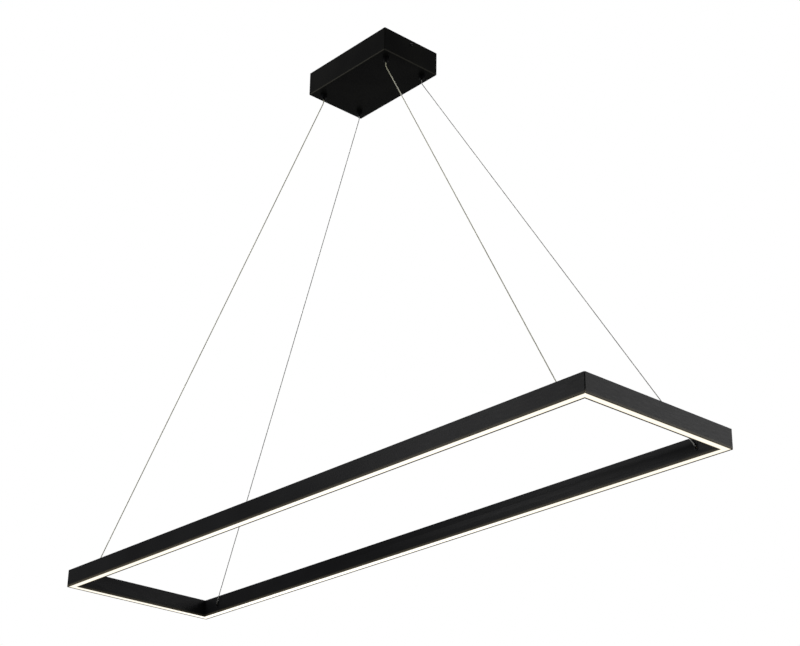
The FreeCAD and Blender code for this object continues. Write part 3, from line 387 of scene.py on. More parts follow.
def nut_profile(across, height, bore, steps=FINE_STEPS):
    """Rows from the bore round the outside: the smaller of hexagon and chamfer cone.

    Hexagon: half the width across flats / cos(angle from the middle of the nearest flat).
    Cone: 0.97 of half that width + 1.73 times the distance from the nearer end face.
    """
    angles = 2 * math.pi * np.arange(steps) / steps
    hexagon = across / 2 / np.cos(angles % (math.pi / 3) - math.pi / 6)
    levels = np.concatenate([np.linspace(0, 0.12, 6), np.linspace(0.16, 0.84, 5),
                             np.linspace(0.88, 1, 6)]) * height
    cone = across / 2 * 0.97 + 1.73 * np.minimum(levels, height - levels)
    outside = (np.minimum(hexagon[None, :], cone[:, None]), np.repeat(levels[:, None], steps, 1))
    return stack([((bore / 2, bore / 2 + 0.3), (0.3, 0)), outside,
                  ((bore / 2 + 0.3, bore / 2), (height, height - 0.3))], steps)


for name, sizes, places in (
        ("gripper_nuts", (12, 3, 8.06), GRIPPERS + (0, 0, SHEET)),
        ("driver_nuts", (5.5, 2.4, 3.06), [(-STUD_X, 0, EAR_TOP), (STUD_X, 0, EAR_TOP)])):
    nut = turn_profile(*nut_profile(*sizes), FINE_STEPS)
    nuts = grid_piece("hex_" + name, placed(nut, places), sharp=25)
    stands_for(nuts, "canopy", "zinc_steel", name)

# %% [markdown]
# ## Screws
# The cover screws close the canopy from its ends and the other two hold wires. Their pan
# heads are domed with a cross pressed in. The cross is a dip in the dome that depends on
# how far a point is from the nearer of the two arms.

# %% Pan head screws
def screw_grid(shank_radius, length, head_radius, head_height, steps=FINE_STEPS):
    """Head below, seat at height 0, thread upwards; both ends close in a pole.

    Dome: depth = head height * (1 - (r / R)^4)^(1/2). Cross: within a sixth of the head's
    radius of an arm's middle line and inside 0.62 of that radius, the dome is pushed in by
    0.6 of its height, with a short slope at the cross's walls and ends.
    """
    share = np.sin(np.linspace(0, math.pi / 2, 22))
    angles = 2 * math.pi * np.arange(steps) / steps
    dome = head_height * np.sqrt(np.maximum(1 - share ** 4, 0))
    x = np.abs(share[:, None] * np.cos(angles)) * head_radius
    y = np.abs(share[:, None] * np.sin(angles)) * head_radius
    arm = np.clip((0.16 * head_radius - np.minimum(x, y)) / 0.12, 0, 1)
    reach = np.clip((0.62 - share[:, None]) * 6, 0, 1)
    dip = 0.6 * head_height * arm * reach
    head = (np.repeat((share * head_radius)[:, None], steps, 1), -dome[:, None] + dip)
    return turn_profile(*stack([
        head, ((shank_radius,), (0,)),
        thread(low=0.05, high=length - 0.3, radius=shank_radius, pitch=0.5, depth=0.18, steps=steps),
        ((shank_radius * 0.7, 0), (length, length)),
    ], steps), steps)


pointing = {"left": np.array([(0, 0, -1), (0, 1, 0), (1, 0, 0)], float),
            "right": np.array([(0, 0, 1), (0, 1, 0), (-1, 0, 0)], float)}
COVER_SCREW_LEVEL = -9
cover_grid = screw_grid(shank_radius=1.5, length=7, head_radius=2.8, head_height=1.4)
cover_screws = grid_piece("cross_cover_screws", np.stack([
    cover_grid @ pointing["right"].T + (-HALF_CANOPY_X, 0, COVER_SCREW_LEVEL),
    cover_grid @ pointing["left"].T + (HALF_CANOPY_X, 0, COVER_SCREW_LEVEL)]) * MM)
stands_for(cover_screws, "canopy", "black_steel", "cover_screws")
earth_grid = screw_grid(shank_radius=2, length=1.5, head_radius=3.7, head_height=2.2)
earth = grid_piece("cross_ground_screw", placed(earth_grid, [(63, -9, -1.5)]))
stands_for(earth, "canopy", "earth_screw", "ground_screw")
clamp_grid = screw_grid(shank_radius=1.3, length=9.5, head_radius=2.3, head_height=1.5)
clamp = grid_piece("cross_terminal_screw", placed(clamp_grid, [(78, 0, -9.5)]))
stands_for(clamp, "canopy", "zinc_steel", "terminal_screw")

# %% [markdown]
# ## Balls and springs
# In each gripper three hardened balls are wedged between the cable and a cone by a small
# spring. Balls are circles turned from pole to pole. The spring is a round wire carried
# along a helix whose first and last half turn lie flat, as a ground spring's do.

# %% Balls
BALL_RADIUS, BALL_RING = 0.9, 1.7
lift = np.linspace(0, math.pi, 17)
ball = turn_profile(BALL_RADIUS * np.sin(lift), -BALL_RADIUS * np.cos(lift), 24)
thirds = np.radians(90 + 120 * np.arange(3))
ring = np.stack([BALL_RING * np.cos(thirds), BALL_RING * np.sin(thirds), np.full(3, -1.0)], 1)
for corner, place in zip(CORNERS, GRIPPERS):
    balls = grid_piece("steel_balls_" + corner, placed(ball, ring + place), (False, True))
    stands_for(balls, "plunger_" + corner, "ball_steel", "gripper_balls_" + corner)

# %% Springs
TURNS, COIL_RADIUS, SPRING_WIRE = 4, 2, 0.2
LOWEST, HIGHEST = 1.25, 10.55
turn = np.linspace(0, TURNS, TURNS * 24 + 1)
climb = np.clip((turn - 0.5) / (TURNS - 1), 0, 1)
coil = np.stack([COIL_RADIUS * np.cos(2 * math.pi * turn),
                 COIL_RADIUS * np.sin(2 * math.pi * turn),
                 LOWEST + (HIGHEST - LOWEST) * climb], 1)
for corner, place in zip(CORNERS, GRIPPERS):
    wire = carried_outline((coil + place) * MM, SPRING_WIRE * MM, 0.0, 10)
    spring = grid_piece("wire_spring_" + corner, [wire], (False, True))
    stands_for(spring, "canopy", "spring_steel", "plunger_spring_" + corner)
    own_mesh(spring)

# %% [markdown]
# ## The canopy's cover
# A flat steel blank is bent up on all four sides and its corners welded and ground, which
# leaves a soft outside radius of 1.8 mm. A cube with a bevel comes close, but here the
# outline of the box is carried down the wall and round the bend: each step shrinks it
# towards the flat floor. Solidify then gives the sheet its 1.2 mm, and the holes for the
# grippers and screws are cut last.

# %% Cover skin
def box_skin(half_x, half_y, depth, bend, steps=6):
    """Rings from the ceiling edge down: core corner + bend * cos b * outward normal.

    The angle b is 0 down the wall and goes to a right angle round the bend, where the
    height is -(depth - bend) - bend * sin b. At each corner the normal turns by 90 degrees.
    """
    quarters = np.radians(np.arange(4) * 90)[:, None] + np.linspace(0, math.pi / 2, steps + 1)
    normals = np.stack([np.cos(quarters), np.sin(quarters)], -1).reshape(-1, 2)
    core = np.repeat([(1, 1), (-1, 1), (-1, -1), (1, -1)], steps + 1, 0) \
        * (half_x - bend, half_y - bend)
    bends = np.concatenate([[0.0], np.linspace(0, math.pi / 2, steps + 1)])
    levels = np.concatenate([[0.0], -(depth - bend) - bend * np.sin(bends[1:])])
    rings = core[None] + bend * np.cos(bends)[:, None, None] * normals[None]
    return np.concatenate([rings, np.broadcast_to(levels[:, None, None],
                                                  rings.shape[:2] + (1,))], -1)


def fill_floor(piece):
    """Close the open loop at the lowest level with one flat face."""
    work = bmesh.new()
    work.from_mesh(piece.data)
    low = min(vertex.co.z for vertex in work.verts)
    loop = [e for e in work.edges if e.is_boundary and max(v.co.z for v in e.verts) < low + 1e-6]
    bmesh.ops.contextual_create(work, geom=loop)
    bmesh.ops.recalc_face_normals(work, faces=work.faces)
    outside = sum(face.normal.z * face.calc_area() for face in work.faces) < 0
    if not outside:
        bmesh.ops.reverse_faces(work, faces=work.faces)
    work.to_mesh(piece.data)
    work.free()


skin_rings = box_skin(HALF_CANOPY_X, HALF_CANOPY_Y, CANOPY_DEPTH, COVER_BEND)
cover = grid_piece("folded_cover", [skin_rings * MM], (False, True))
fill_floor(cover)
print("cover's skin has", len(cover.data.polygons), "faces")

# %% Sheet thickness and holes
GRIPPER_HOLE, SCREW_HOLE = 4.1, 1.6
screw_holes = [(side * (HALF_CANOPY_X - 1), 0, COVER_SCREW_LEVEL) for side in (-1, 1)]
drill = turn_profile((0, GRIPPER_HOLE, GRIPPER_HOLE, 0), (-3, -3, 3, 3), STEPS)
small_drill = turn_profile((0, SCREW_HOLE, SCREW_HOLE, 0), (-3, -3, 3, 3), STEPS)
tools = grid_piece("drills", np.concatenate([
    placed(drill, GRIPPERS), placed(small_drill @ pointing["left"].T, screw_holes)]),
    (False, True))
sheet_metal = cover.modifiers.new("sheet thickness", "SOLIDIFY")
sheet_metal.thickness = SHEET * MM
sheet_metal.offset = -1
sheet_metal.use_even_offset = True


def cut_away(piece, tools, name):
    """What is left of a piece once the tools' volume is taken out of it."""
    cut = piece.modifiers.new("cut", "BOOLEAN")
    cut.operation = "DIFFERENCE"
    cut.object = tools
    left = bpy.data.meshes.new_from_object(
        piece.evaluated_get(bpy.context.evaluated_depsgraph_get()))
    bpy.data.objects.remove(piece)
    return finished_piece(name, left, 35)


cover = cut_away(cover, tools, "sheet_cover")
bpy.data.objects.remove(tools)
stands_for(cover, "canopy", "black_powder_coat", "canopy_cover")

# %% Weld studs for the driver
STUD_RADIUS, STUD_FOOT, STUD_TOP = 1.49, -42.9, -35.8
stud = turn_profile(*stack([
    ((0, STUD_RADIUS), (STUD_FOOT, STUD_FOOT)),
    thread(low=-41.8, high=STUD_TOP, radius=STUD_RADIUS, pitch=0.5, depth=0.2, steps=STEPS),
    ((1.1, 0), (STUD_TOP, STUD_TOP))], STEPS), STEPS)
studs = grid_piece("weld_studs", placed(stud, [(-STUD_X, 0, 0), (STUD_X, 0, 0)]), (False, True))
stands_for(studs, "canopy", "zinc_steel")

# %% [markdown]
# ## Plungers
# The nose below each gripper is the end of a thin tube with three windows for the balls.
# Its shape in the model is already right, only faceted: a copy of it is welded together and
# shaded smooth, which is simpler than cutting the windows again.

# %% Plungers
def smooth_copy(node, name, sharp):
    """A solid's own mesh, welded together and shaded smooth up to an angle."""
    return finished_piece(name, nodes[node].data.copy(), sharp)


for corner in CORNERS:
    plunger = smooth_copy("gripper_plunger_" + corner, "turned_plunger_" + corner, sharp=40)
    stands_for(plunger, "plunger_" + corner, "black_gripper", "gripper_plunger_" + corner)

# %% [markdown]
# ## Small radii on everything else
# No real edge is perfectly sharp: extruded lips, moulded plastic and cut sheet all catch a
# thin line of light. The solids are used as they are, and three modifiers give them that
# radius: Weld joins their loose triangles, Decimate removes the lines inside flat faces, and
# Bevel rounds what is left.

# %% Edge radii
def ease_edges(piece, radius, segments):
    """Round a piece's edges to a radius in mm."""
    weld = piece.modifiers.new("weld", "WELD")
    weld.merge_threshold = 1e-6
    flat = piece.modifiers.new("flat faces", "DECIMATE")
    flat.decimate_type = "DISSOLVE"
    flat.angle_limit = math.radians(0.5)
    bevel = piece.modifiers.new("edge radius", "BEVEL")
    bevel.width = radius * MM
    bevel.segments = segments
    bevel.limit_method = "ANGLE"
    bevel.angle_limit = math.radians(30)
    bevel.use_clamp_overlap = True


# each kind of piece with its edge radius in mm and the segments round it
RADII = {
    "opal": (0.15, 2), "corner_key": (0.15, 2), "entry_bushes": (0.25, 3),
    "cable_ferrules": (0.2, 2), "cable_stops": (0.2, 2), "ceiling_bracket": (0.2, 2),
    "terminal_block": (0.4, 3), "led_driver": (0.7, 3), "led_strip": (0.08, 1),
    "strip_jumpers": (0.06, 1),
}
for node in nodes:
    for start, (radius, segments) in RADII.items():
        if node.startswith(start):
            ease_edges(nodes[node], radius, segments)
            print(node, "edges", radius, "mm")

# %% [markdown]
# ## The rails and their mitres
# The rails are sawn at 45 degrees, and the thin tips of the cut are filed back before they
# are knocked together, which leaves a fine dark groove down each outer corner. Moving the
# tips' points would do it, but a blade is easier to picture: one upright blade stands in
# each corner, along the mitre, and is taken out of both rails.

# %% Mitre grooves
def blade(corner, half_length, half_width, levels):
    """A box: corner + along * outward + across * sideways, between two levels.

    Outward runs along the mitre at 45 degrees, and sideways is square to it. The first and
    last rows are the middle of each end, so that the box closes.
    """
    side = np.sign(corner)
    outward = np.array((side[0], side[1], 0)) / math.sqrt(2)
    sideways = np.array((-side[1], side[0], 0)) / math.sqrt(2)
    along = np.array((-1, 1, 1, -1)) * half_length
    across = np.array((-1, -1, 1, 1)) * half_width
    outline = np.append(corner, 0) + along[:, None] * outward + across[:, None] * sideways
    middle = np.repeat(np.append(corner, 0)[None], 4, 0)
    rows = [middle, outline, outline, middle]
    heights = [levels[0], levels[0], levels[1], levels[1]]
    return np.array([row + (0, 0, height) for row, height in zip(rows, heights)])


GROOVE_DEPTH, GROOVE_WIDTH = 1.0, 1.5
corners = [np.array((HALF_FRAME_X * side_x, HALF_FRAME_Y * side_y))
           for side_x, side_y in CORNERS.values()]
blades = grid_piece("mitre_blades", np.array([
    blade(corner, GROOVE_DEPTH, GROOVE_WIDTH / 2, (FRAME_FOOT - 2, FRAME_TOP + 2))
    for corner in corners]) * MM, (False, True))
for side in ("near", "right", "far", "left"):
    whole_rail = smooth_copy("rail_" + side, "whole_rail", sharp=30)
    rail = cut_away(whole_rail, blades, "mitred_rail_" + side)
    ease_edges(rail, radius=0.25, segments=3)
    stands_for(rail, "light_frame", slot_of["rail_" + side], "rail_" + side)
bpy.data.objects.remove(blades)

# %% [markdown]
# ## Finishes
# Each finish starts from the real material and how its surface was made. Colours are
# written as the sRGB values that one would pick from a paint card, and turned to linear
# light here, because that is what the shader works in. Patterns read Object coordinates,
# which are metres in this scene, so a scale of 1000 / s gives features of s millimetres.

# %% Colours and nodes
def linear(hex_colour):
    """sRGB hex to linear: c / 12.92 below 0.04045, else ((c + 0.055) / 1.055)^2.4."""
    parts = [int(hex_colour[i:i + 2], 16) / 255 for i in (1, 3, 5)]
    return tuple(c / 12.92 if c <= 0.04045 else ((c + 0.055) / 1.055) ** 2.4
                 for c in parts) + (1,)


def add_node(tree, kind, inputs=(), **settings):
    """Add a node; each input takes a value, or a link if it is given another's output."""
    node = tree.nodes.new(kind)
    for word, value in settings.items():
        setattr(node, word, value)
    for socket, value in dict(inputs).items():
        if isinstance(value, bpy.types.NodeSocket):
            tree.links.new(value, node.inputs[socket])
        else:
            node.inputs[socket].default_value = value
    return node


def new_finish(name, colour, roughness, **constants):
    """A material with its shader, and the Object coordinates that its patterns read."""
    material = bpy.data.materials.new(name)
    material.use_nodes = True
    tree = material.node_tree
    shader = tree.nodes["Principled BSDF"]
    shader.inputs["Base Color"].default_value = linear(colour)
    shader.inputs["Roughness"].default_value = roughness
    for word, value in constants.items():
        shader.inputs[word.replace("_", " ")].default_value = value
    place = add_node(tree, "ShaderNodeTexCoord").outputs["Object"]
    print("finish", name)
    return material, tree, shader, place


def skin(tree, shader, place, size, height, rough, stretch=(1, 1, 1)):
    """Small unevenness: waves of a size and height in mm, and roughness between two values."""
    stretched = add_node(tree, "ShaderNodeMapping", {"Vector": place, "Scale": stretch})
    noise = add_node(tree, "ShaderNodeTexNoise", {
        "Vector": stretched.outputs["Vector"], "Scale": 1000 / size, "Detail": 3})
    bump = add_node(tree, "ShaderNodeBump", {
        "Height": noise.outputs["Fac"], "Strength": 1.0, "Distance": height * MM})
    spread = add_node(tree, "ShaderNodeMapRange", {
        "Value": noise.outputs[0], "From Min": 0.3, "From Max": 0.7,
        "To Min": rough[0], "To Max": rough[1]})
    tree.links.new(bump.outputs["Normal"], shader.inputs["Normal"])
    tree.links.new(spread.outputs["Result"], shader.inputs["Roughness"])


def tint(tree, shader, place, size, colours):
    """Slow drift between two colours, in patches of a size in mm."""
    noise = add_node(tree, "ShaderNodeTexNoise", {"Vector": place, "Scale": 1000 / size})
    ramp = add_node(tree, "ShaderNodeValToRGB", {"Fac": noise.outputs[0]})
    for stop, at, colour in zip(ramp.color_ramp.elements, (0.35, 0.65), colours):
        stop.position, stop.color = at, linear(colour)
    tree.links.new(ramp.outputs["Color"], shader.inputs["Base Color"])


finishes = {}

# %% [markdown]
# ### Black powder coat
# The canopy and the rails are sprayed with dry polyester powder and baked. It melts into a
# thin satin film with a fine orange peel: soft waves of about a millimetre. On the folded
# steel the coat is deeper black, with a greyer painted highlight along the lower bends; on
# the extruded rails it follows the faint draw lines of the die, which run along each rail,
# and takes a warm painted glow at its foot for the light that the opal covers spill.

# %% Powder coats
def paint_over(tree, shader, share, colour):
    """Mix another colour over the shader's own where share is 1."""
    under = shader.inputs["Base Color"].links[0].from_socket
    mixed = add_node(tree, "ShaderNodeMix", {"Factor": share, 6: under, 7: linear(colour)},
                     data_type="RGBA")
    tree.links.new(mixed.outputs[2], shader.inputs["Base Color"])


made = new_finish("polyester powder coat on steel", "#0B0B0C", 0.5, Specular_IOR_Level=0.01)
skin(*made[1:], 1.2, 0.012, (0.44, 0.56))
tint(*made[1:], 60, ("#0A0A0A", "#0F0F0E"))
_, tree, shader, place = made
split = add_node(tree, "ShaderNodeSeparateXYZ", {"Vector": place})
# how far outside each face of the canopy a point lies: negative inside, 0 on the face
past = {}
for axis, face in (("X", HALF_CANOPY_X), ("Y", HALF_CANOPY_Y), ("Z", CANOPY_DEPTH)):
    away = add_node(tree, "ShaderNodeMath", {0: split.outputs[axis]}, operation="ABSOLUTE")
    past[axis] = add_node(tree, "ShaderNodeMath", {0: away.outputs[0], 1: face * MM},
                          operation="SUBTRACT").outputs[0]
wall = add_node(tree, "ShaderNodeMath", {0: past["X"], 1: past["Y"]}, operation="MAXIMUM")
bend = add_node(tree, "ShaderNodeMath", {0: wall.outputs[0], 1: past["Z"]}, operation="ADD")
# that sum is -1.8 mm where the lower bend starts and -1.05 mm in its middle
# a greyer line painted over the lower bends, where they catch light: a painted highlight
painted_bend_highlight = add_node(tree, "ShaderNodeMapRange", {
    "Value": bend.outputs[0], "From Min": -1.7 * MM, "From Max": -1.25 * MM})
paint_over(tree, shader, painted_bend_highlight.outputs["Result"], "#2B2A26")
finishes["black_powder_coat"] = made[0]

for name, stretch, level, rough in (("along", (0.05, 1, 1), 0.011, (0.28, 0.36)),
                                    ("across", (1, 0.05, 1), 0.035, (0.34, 0.44))):
    made = new_finish("powder coated extruded aluminium, lines %s" % name, "#0F0F10", 0.4,
                      Specular_IOR_Level=level)
    skin(*made[1:], 1.0, 0.008, rough, stretch)
    tint(*made[1:], 90, ("#0D0D0E", "#121213"))
    _, tree, shader, place = made
    height = add_node(tree, "ShaderNodeSeparateXYZ", {"Vector": place}).outputs["Z"]
    # painted glow of the opal covers' light: from nothing at 4 mm above the foot to full at 0.6 mm,
    # and none on the underside
    foot = add_node(tree, "ShaderNodeMapRange", {
        "Value": height, "From Min": (FRAME_FOOT + 4) * MM, "From Max": (FRAME_FOOT + 0.6) * MM})
    wall = add_node(tree, "ShaderNodeMath", {0: height, 1: (FRAME_FOOT + 0.08) * MM},
                    operation="GREATER_THAN")
    painted_foot_glow = add_node(tree, "ShaderNodeMath", {0: foot.outputs["Result"], 1: wall.outputs[0]},
                    operation="MULTIPLY")
    paint_over(tree, shader, painted_foot_glow.outputs[0], "#443F34")
    finishes["rail_" + name] = made[0]

# %% [markdown]
# ### Opal covers
# Opal acrylic is full of fine white pigment, which mixes the light of the LED ribbon behind
# it into one even glow. Its warm white is drawn as light from the surface itself: a little
# weaker towards the legs, and gone in the last half millimetre, where the rail's ledges
# stand behind the cover and its own colour is darkened too, as painted shade; the smooth
# face of the extruded plastic lies over it.

# %% Opal acrylic
for name, outer_side, axis in (("long", HALF_FRAME_Y, "Y"), ("short", HALF_FRAME_X, "X")):
    material, tree, shader, place = new_finish(
        "extruded opal acrylic, %s" % name, "#C9C5BC", 0.35, IOR=1.49)
    split = add_node(tree, "ShaderNodeSeparateXYZ", {"Vector": place})
    side = add_node(tree, "ShaderNodeMath", {0: split.outputs[axis]}, operation="ABSOLUTE")
    middle = (outer_side - RAIL_WIDTH / 2) * MM
    off = add_node(tree, "ShaderNodeMath", {0: side.outputs[0], 1: middle}, operation="SUBTRACT")
    away = add_node(tree, "ShaderNodeMath", {0: off.outputs[0]}, operation="ABSOLUTE")
    ramp = add_node(tree, "ShaderNodeValToRGB", {"Fac": add_node(tree, "ShaderNodeMapRange", {
        "Value": away.outputs[0], "From Min": 0.0, "From Max": 5.4 * MM}).outputs["Result"]})
    for stop, at, colour in zip(ramp.color_ramp.elements, (0.55, 0.88), ("#FFFBEC", "#F7E7C4")):
        stop.position, stop.color = at, linear(colour)
    ramp.color_ramp.elements.new(0.94).color = linear("#1E180E")
    tree.links.new(ramp.outputs["Color"], shader.inputs["Emission Color"])
    # the cover's own colour darkens from 4.8 mm to 5 mm off its middle and stays dark beyond: painted
    # shade where the ledges shade its edge
    edge = add_node(tree, "ShaderNodeMapRange", {
        "Value": away.outputs[0], "From Min": 4.8 * MM, "From Max": 5.0 * MM})
    body = add_node(tree, "ShaderNodeMix", {
        "Factor": edge.outputs["Result"], 6: linear("#C9C5BC"), 7: linear("#2A2419")},
        data_type="RGBA")
    tree.links.new(body.outputs[2], shader.inputs["Base Color"])
    shader.inputs["Emission Strength"].default_value = 0.8
    skin(tree, shader, place, 6, 0.004, (0.3, 0.4))
    finishes["opal_" + name] = material

# %% [markdown]
# ### LED strip
# The strip's board is coated with white solder mask. Its chips sit so close under one cast
# ribbon of silicone that no dots show; the yellow is phosphor in that silicone. One
# material serves both, since the ribbon lies lower than the board's face.

# %% Board and phosphor ribbon
BOARD_FACE = -836.55
material, tree, shader, place = new_finish("solder mask and phosphor silicone", "#E9E9E2", 0.4)
level = add_node(tree, "ShaderNodeSeparateXYZ", {"Vector": place}).outputs["Z"]
below = add_node(tree, "ShaderNodeMath", {0: level, 1: BOARD_FACE * MM}, operation="LESS_THAN")
mixed = add_node(tree, "ShaderNodeMix", {
    "Factor": below.outputs[0], 6: linear("#E9E9E2"), 7: linear("#E8C23A")}, data_type="RGBA")
tree.links.new(mixed.outputs[2], shader.inputs["Base Color"])
skin(tree, shader, place, 2, 0.02, (0.35, 0.5))
finishes["strip_board"] = material

# %% [markdown]
# ### Steel rope and its sheath
# The two far cables are bare galvanised wire, a grey metal that is bright on its crowns and
# dull in the valleys between the strands. The two near ones carry the current in a thin PVC
# sheath, clear and faintly yellow, so that the grey rope shows through a smooth satin skin. A
# wave along the strands stands for their single wires; the real ones are 0.17 mm thick, too
# fine to see, so it is drawn at four times that. The Wave texture makes a little over three
# waves in each unit of its scaled coordinate, so a scale of 1000 / (pi s) sets them
# s millimetres apart, to within 2 %.

# %% Wire rope
ONE_WAVE_PER_MM = 1000 / math.pi
material, tree, shader, place = new_finish("galvanised steel wire rope", "#747472", 0.34,
                                           Metallic=1.0)
wires = add_node(tree, "ShaderNodeTexWave", {
    "Vector": place, "Scale": ONE_WAVE_PER_MM / 0.7, "Distortion": 2.0}, bands_direction="Z")
groove = add_node(tree, "ShaderNodeBump", {"Height": wires.outputs["Fac"], "Distance": 0.02 * MM})
tree.links.new(groove.outputs["Normal"], shader.inputs["Normal"])
tint(tree, shader, place, 14, ("#686866", "#80807D"))
finishes["bare_rope"] = material

made = new_finish("grey rope in clear PVC", "#84836F", 0.3, IOR=1.53)
skin(*made[1:], 5, 0.01, (0.24, 0.36))
tint(*made[1:], 14, ("#7A7967", "#8A8975"))
finishes["sheathed_rope"] = made[0]

# %% [markdown]
# ### Plated, turned and hardened metal
# Zinc plating is a thin crystalline layer: patches of slightly different grey and gloss a
# few millimetres wide. Turned pieces, such as the grippers of blackened brass, keep the fine
# rings of the lathe tool. Balls are ground and polished, and springs are drawn wire with a
# brown-grey sheen.

# %% Zinc plate
def spangle(name, colours, rough, size=5, **constants):
    """Crystals of a size in mm, each with its own grey and its own gloss."""
    material, tree, shader, place = new_finish(name, colours[0], rough[0], **constants)
    cells = add_node(tree, "ShaderNodeTexVoronoi", {"Vector": place, "Scale": 1000 / size})
    value = add_node(tree, "ShaderNodeSeparateColor", {"Color": cells.outputs["Color"]})
    noise = add_node(tree, "ShaderNodeTexNoise", {"Vector": place, "Scale": 1000 / size * 2})
    both = add_node(tree, "ShaderNodeMath", {0: value.outputs[0], 1: noise.outputs["Fac"]},
                    operation="MULTIPLY")
    ramp = add_node(tree, "ShaderNodeValToRGB", {"Fac": both.outputs[0]})
    for stop, at, colour in zip(ramp.color_ramp.elements, (0.0, 0.6), colours):
        stop.position, stop.color = at, linear(colour)
    tree.links.new(ramp.outputs["Color"], shader.inputs["Base Color"])
    gloss = add_node(tree, "ShaderNodeMapRange", {
        "Value": both.outputs[0], "To Min": rough[0], "To Max": rough[1]})
    tree.links.new(gloss.outputs["Result"], shader.inputs["Roughness"])
    return material


finishes["zinc_steel"] = spangle("zinc plated steel", ("#B4B7BB", "#D2D4D3"), (0.28, 0.45),
                                 Metallic=1.0)
finishes["earth_screw"] = spangle("green passivated steel", ("#2F7A50", "#4C9A68"), (0.3, 0.45),
                                  3, Metallic=1.0)
finishes["black_steel"] = spangle("black zinc plated steel", ("#0F0F10", "#171718"), (0.45, 0.6),
                                  2, Metallic=1.0)

# %% Turned, drawn and ground metal
def turned_metal(name, colour, rough, pitch, height, **constants):
    """Rings of the tool, as waves along Z: height (1 + sin(2 pi z / pitch)) / 2, in mm."""
    material, tree, shader, place = new_finish(name, colour, rough[0], **constants)
    rings = add_node(tree, "ShaderNodeTexWave", {
        "Vector": place, "Scale": ONE_WAVE_PER_MM / pitch, "Distortion": 0.6}, bands_direction="Z")
    bump = add_node(tree, "ShaderNodeBump", {"Height": rings.outputs["Fac"],
                                             "Distance": height * MM})
    tree.links.new(bump.outputs["Normal"], shader.inputs["Normal"])
    noise = add_node(tree, "ShaderNodeTexNoise", {"Vector": place, "Scale": 1000 / 3})
    gloss = add_node(tree, "ShaderNodeMapRange", {
        "Value": noise.outputs["Fac"], "To Min": rough[0], "To Max": rough[1]})
    tree.links.new(gloss.outputs["Result"], shader.inputs["Roughness"])
    return material


finishes["black_gripper"] = turned_metal("blackened turned brass", "#060607", (0.36, 0.5),
                                         0.5, 0.006, Specular_IOR_Level=0.02)
finishes["crimp_brass"] = turned_metal("rolled brass", "#C4A765", (0.25, 0.42), 0.8, 0.006,
                                       Metallic=1.0)
finishes["spring_steel"] = turned_metal("patented spring wire", "#8F8A82", (0.22, 0.36), 0.2,
                                        0.002, Metallic=1.0)
finishes["ball_steel"] = turned_metal("ground bearing steel", "#C9CBCD", (0.08, 0.16), 0.6,
                                      0.0005, Metallic=1.0)

# %% [markdown]
# ### Moulded and extruded plastics
# Glass-filled nylon keys are dull with a fine grain, the entry bushes are smooth nylon, the
# terminal block is pale polyamide and the driver's case has the fine spark-eroded texture
# of an electrical housing. PVC insulation is smooth and slightly soft in its shine.

# %% Plastics
# name, two colours, and the surface's wave size and height in mm and its roughness
PLASTICS = {
    "corner_key": ("glass filled nylon", ("#161617", "#232325"), 0.7, 0.03, (0.55, 0.75)),
    "entry_bushes": ("moulded black nylon", ("#060607", "#0A0A0B"), 1.0, 0.008, (0.5, 0.6)),
    "block_plastic": ("moulded polyamide", ("#D9D5C8", "#E4E0D4"), 1.2, 0.015, (0.38, 0.5)),
    "driver_case": ("eroded texture polycarbonate", ("#DCDCD8", "#E6E6E2"), 0.5, 0.03, (0.5, 0.62)),
    "lead_black": ("black PVC insulation", ("#141416", "#1C1C1E"), 2.5, 0.01, (0.32, 0.45)),
    "lead_white": ("white PVC insulation", ("#E2E0D8", "#ECEAE3"), 2.5, 0.01, (0.32, 0.45)),
    "lead_green": ("green PVC insulation", ("#1F7A3C", "#2A8A48"), 2.5, 0.01, (0.32, 0.45)),
    "lead_red": ("red PVC insulation", ("#B3221E", "#C22D27"), 2.5, 0.01, (0.32, 0.45)),
}
for key, (name, colours, size, height, rough) in PLASTICS.items():
    made = new_finish(name, colours[0], rough[0],
                      Specular_IOR_Level=0.04 if key == "entry_bushes" else 0.4)
    skin(*made[1:], size, height, rough)
    tint(*made[1:], 25, colours)
    finishes[key] = made[0]

# %% Give every piece its finish
def finish_of(piece):
    """The key of a piece's finish: by its name where a slot has several, or its slot."""
    name = piece.name
    if name.startswith("mitred_rail_"):
        return "rail_along" if name.endswith(("near", "far")) else "rail_across"
    if name.startswith("opal_cover_"):
        return "opal_long" if name in ("opal_cover_near", "opal_cover_far") else "opal_short"
    if name.startswith("wire_rope_near_"):
        return "sheathed_rope"
    if name.startswith("wire_rope_"):
        return "bare_rope"
    for start in ("corner_key", "entry_bushes"):
        if name.startswith(start):
            return start
    return piece.get("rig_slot") or slot_of[name]


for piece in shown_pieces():
    finish = finishes[finish_of(piece)]
    if piece.material_slots:
        piece.material_slots[0].material = finish
    else:
        piece.data.materials.append(finish)

# %% [markdown]
# ## Floor, light and background
# The room is plain: a pale floor 3 m below the ceiling, made paler for the camera alone, an
# even white sky for soft light, and four large lamps that give the black coat a little
# shape. Rays that leave the camera, or that metal and glass send back to it, see a white
# background of strength 1, while the light on the object is weaker, so black stays black.

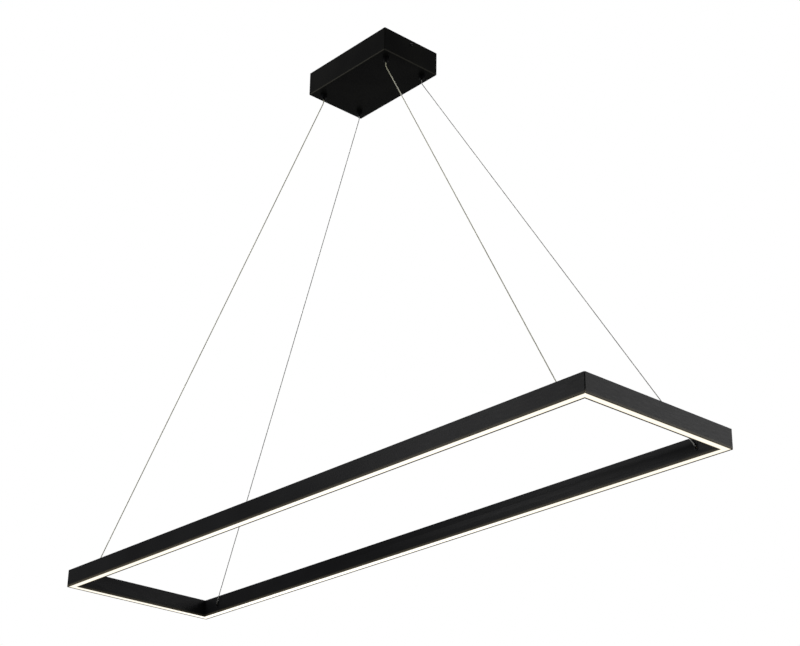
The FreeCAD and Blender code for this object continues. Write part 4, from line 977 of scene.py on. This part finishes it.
# %% Floor
REACH, FLOOR_LEVEL = 40, -3
floor = grid_piece("floor", [np.array([
    [(x, y, FLOOR_LEVEL) for y in (-REACH, REACH)] for x in (-REACH, REACH)])], (False, False))
if floor.data.polygons[0].normal.z < 0:
    floor.data.flip_normals()
made = new_finish("pale painted floor", "#E8E8E6", 0.7, Specular_IOR_Level=0.3)
tint(*made[1:], 400, ("#E5E5E3", "#EBEBE9"))
paleness = add_node(made[1], "ShaderNodeMapRange", {
    "Value": add_node(made[1], "ShaderNodeLightPath").outputs["Is Camera Ray"], "To Max": 0.42})
made[1].links.new(paleness.outputs["Result"], made[2].inputs["Emission Strength"])
made[2].inputs["Emission Color"].default_value = linear("#F4F4F2")
floor.data.materials.append(made[0])

# %% Sky
world = bpy.data.worlds.new("plain studio")
world.use_nodes = True
bpy.context.scene.world = world
sky = world.node_tree
sky.nodes.clear()
path = add_node(sky, "ShaderNodeLightPath")
seen = add_node(sky, "ShaderNodeMath", {0: path.outputs["Is Camera Ray"],
                                        1: path.outputs["Is Glossy Ray"]}, operation="MAXIMUM")
seen = add_node(sky, "ShaderNodeMath", {0: seen.outputs[0],
                                        1: path.outputs["Is Transmission Ray"]}, operation="MAXIMUM")
strength = add_node(sky, "ShaderNodeMapRange", {"Value": seen.outputs[0], "To Min": 0.4,
                                                "To Max": 1.0})
white = add_node(sky, "ShaderNodeBackground", {"Color": linear("#FFFFFF"),
                                               "Strength": strength.outputs["Result"]})
add_node(sky, "ShaderNodeOutputWorld", {"Surface": white.outputs["Background"]})
print("sky", world.name)

# %% Lamps
def lamp(name, place, size, power):
    """A square area lamp that faces the middle of the object."""
    light = bpy.data.lights.new(name, "AREA")
    light.size, light.energy = size, power
    holder = bpy.data.objects.new(name, light)
    holder.location = place
    holder.rotation_euler = (Vector((0, 0, -0.5)) - Vector(place)).to_track_quat("-Z", "Y").to_euler()
    bpy.context.scene.collection.objects.link(holder)
    print(name, power, "W")


lamp("key", (1.75, 1.5, -0.09), 1.0, 24)
lamp("fill", (-0.84, -1.49, -0.08), 0.7, 28)
lamp("low", (-1.3, 1.1, -1.1), 0.8, 4)
lamp("top", (-0.4, 0.6, 2.2), 1.6, 28)
bpy.context.scene.view_settings.view_transform = "Standard"

# %% The end
bpy.context.view_layer.update()
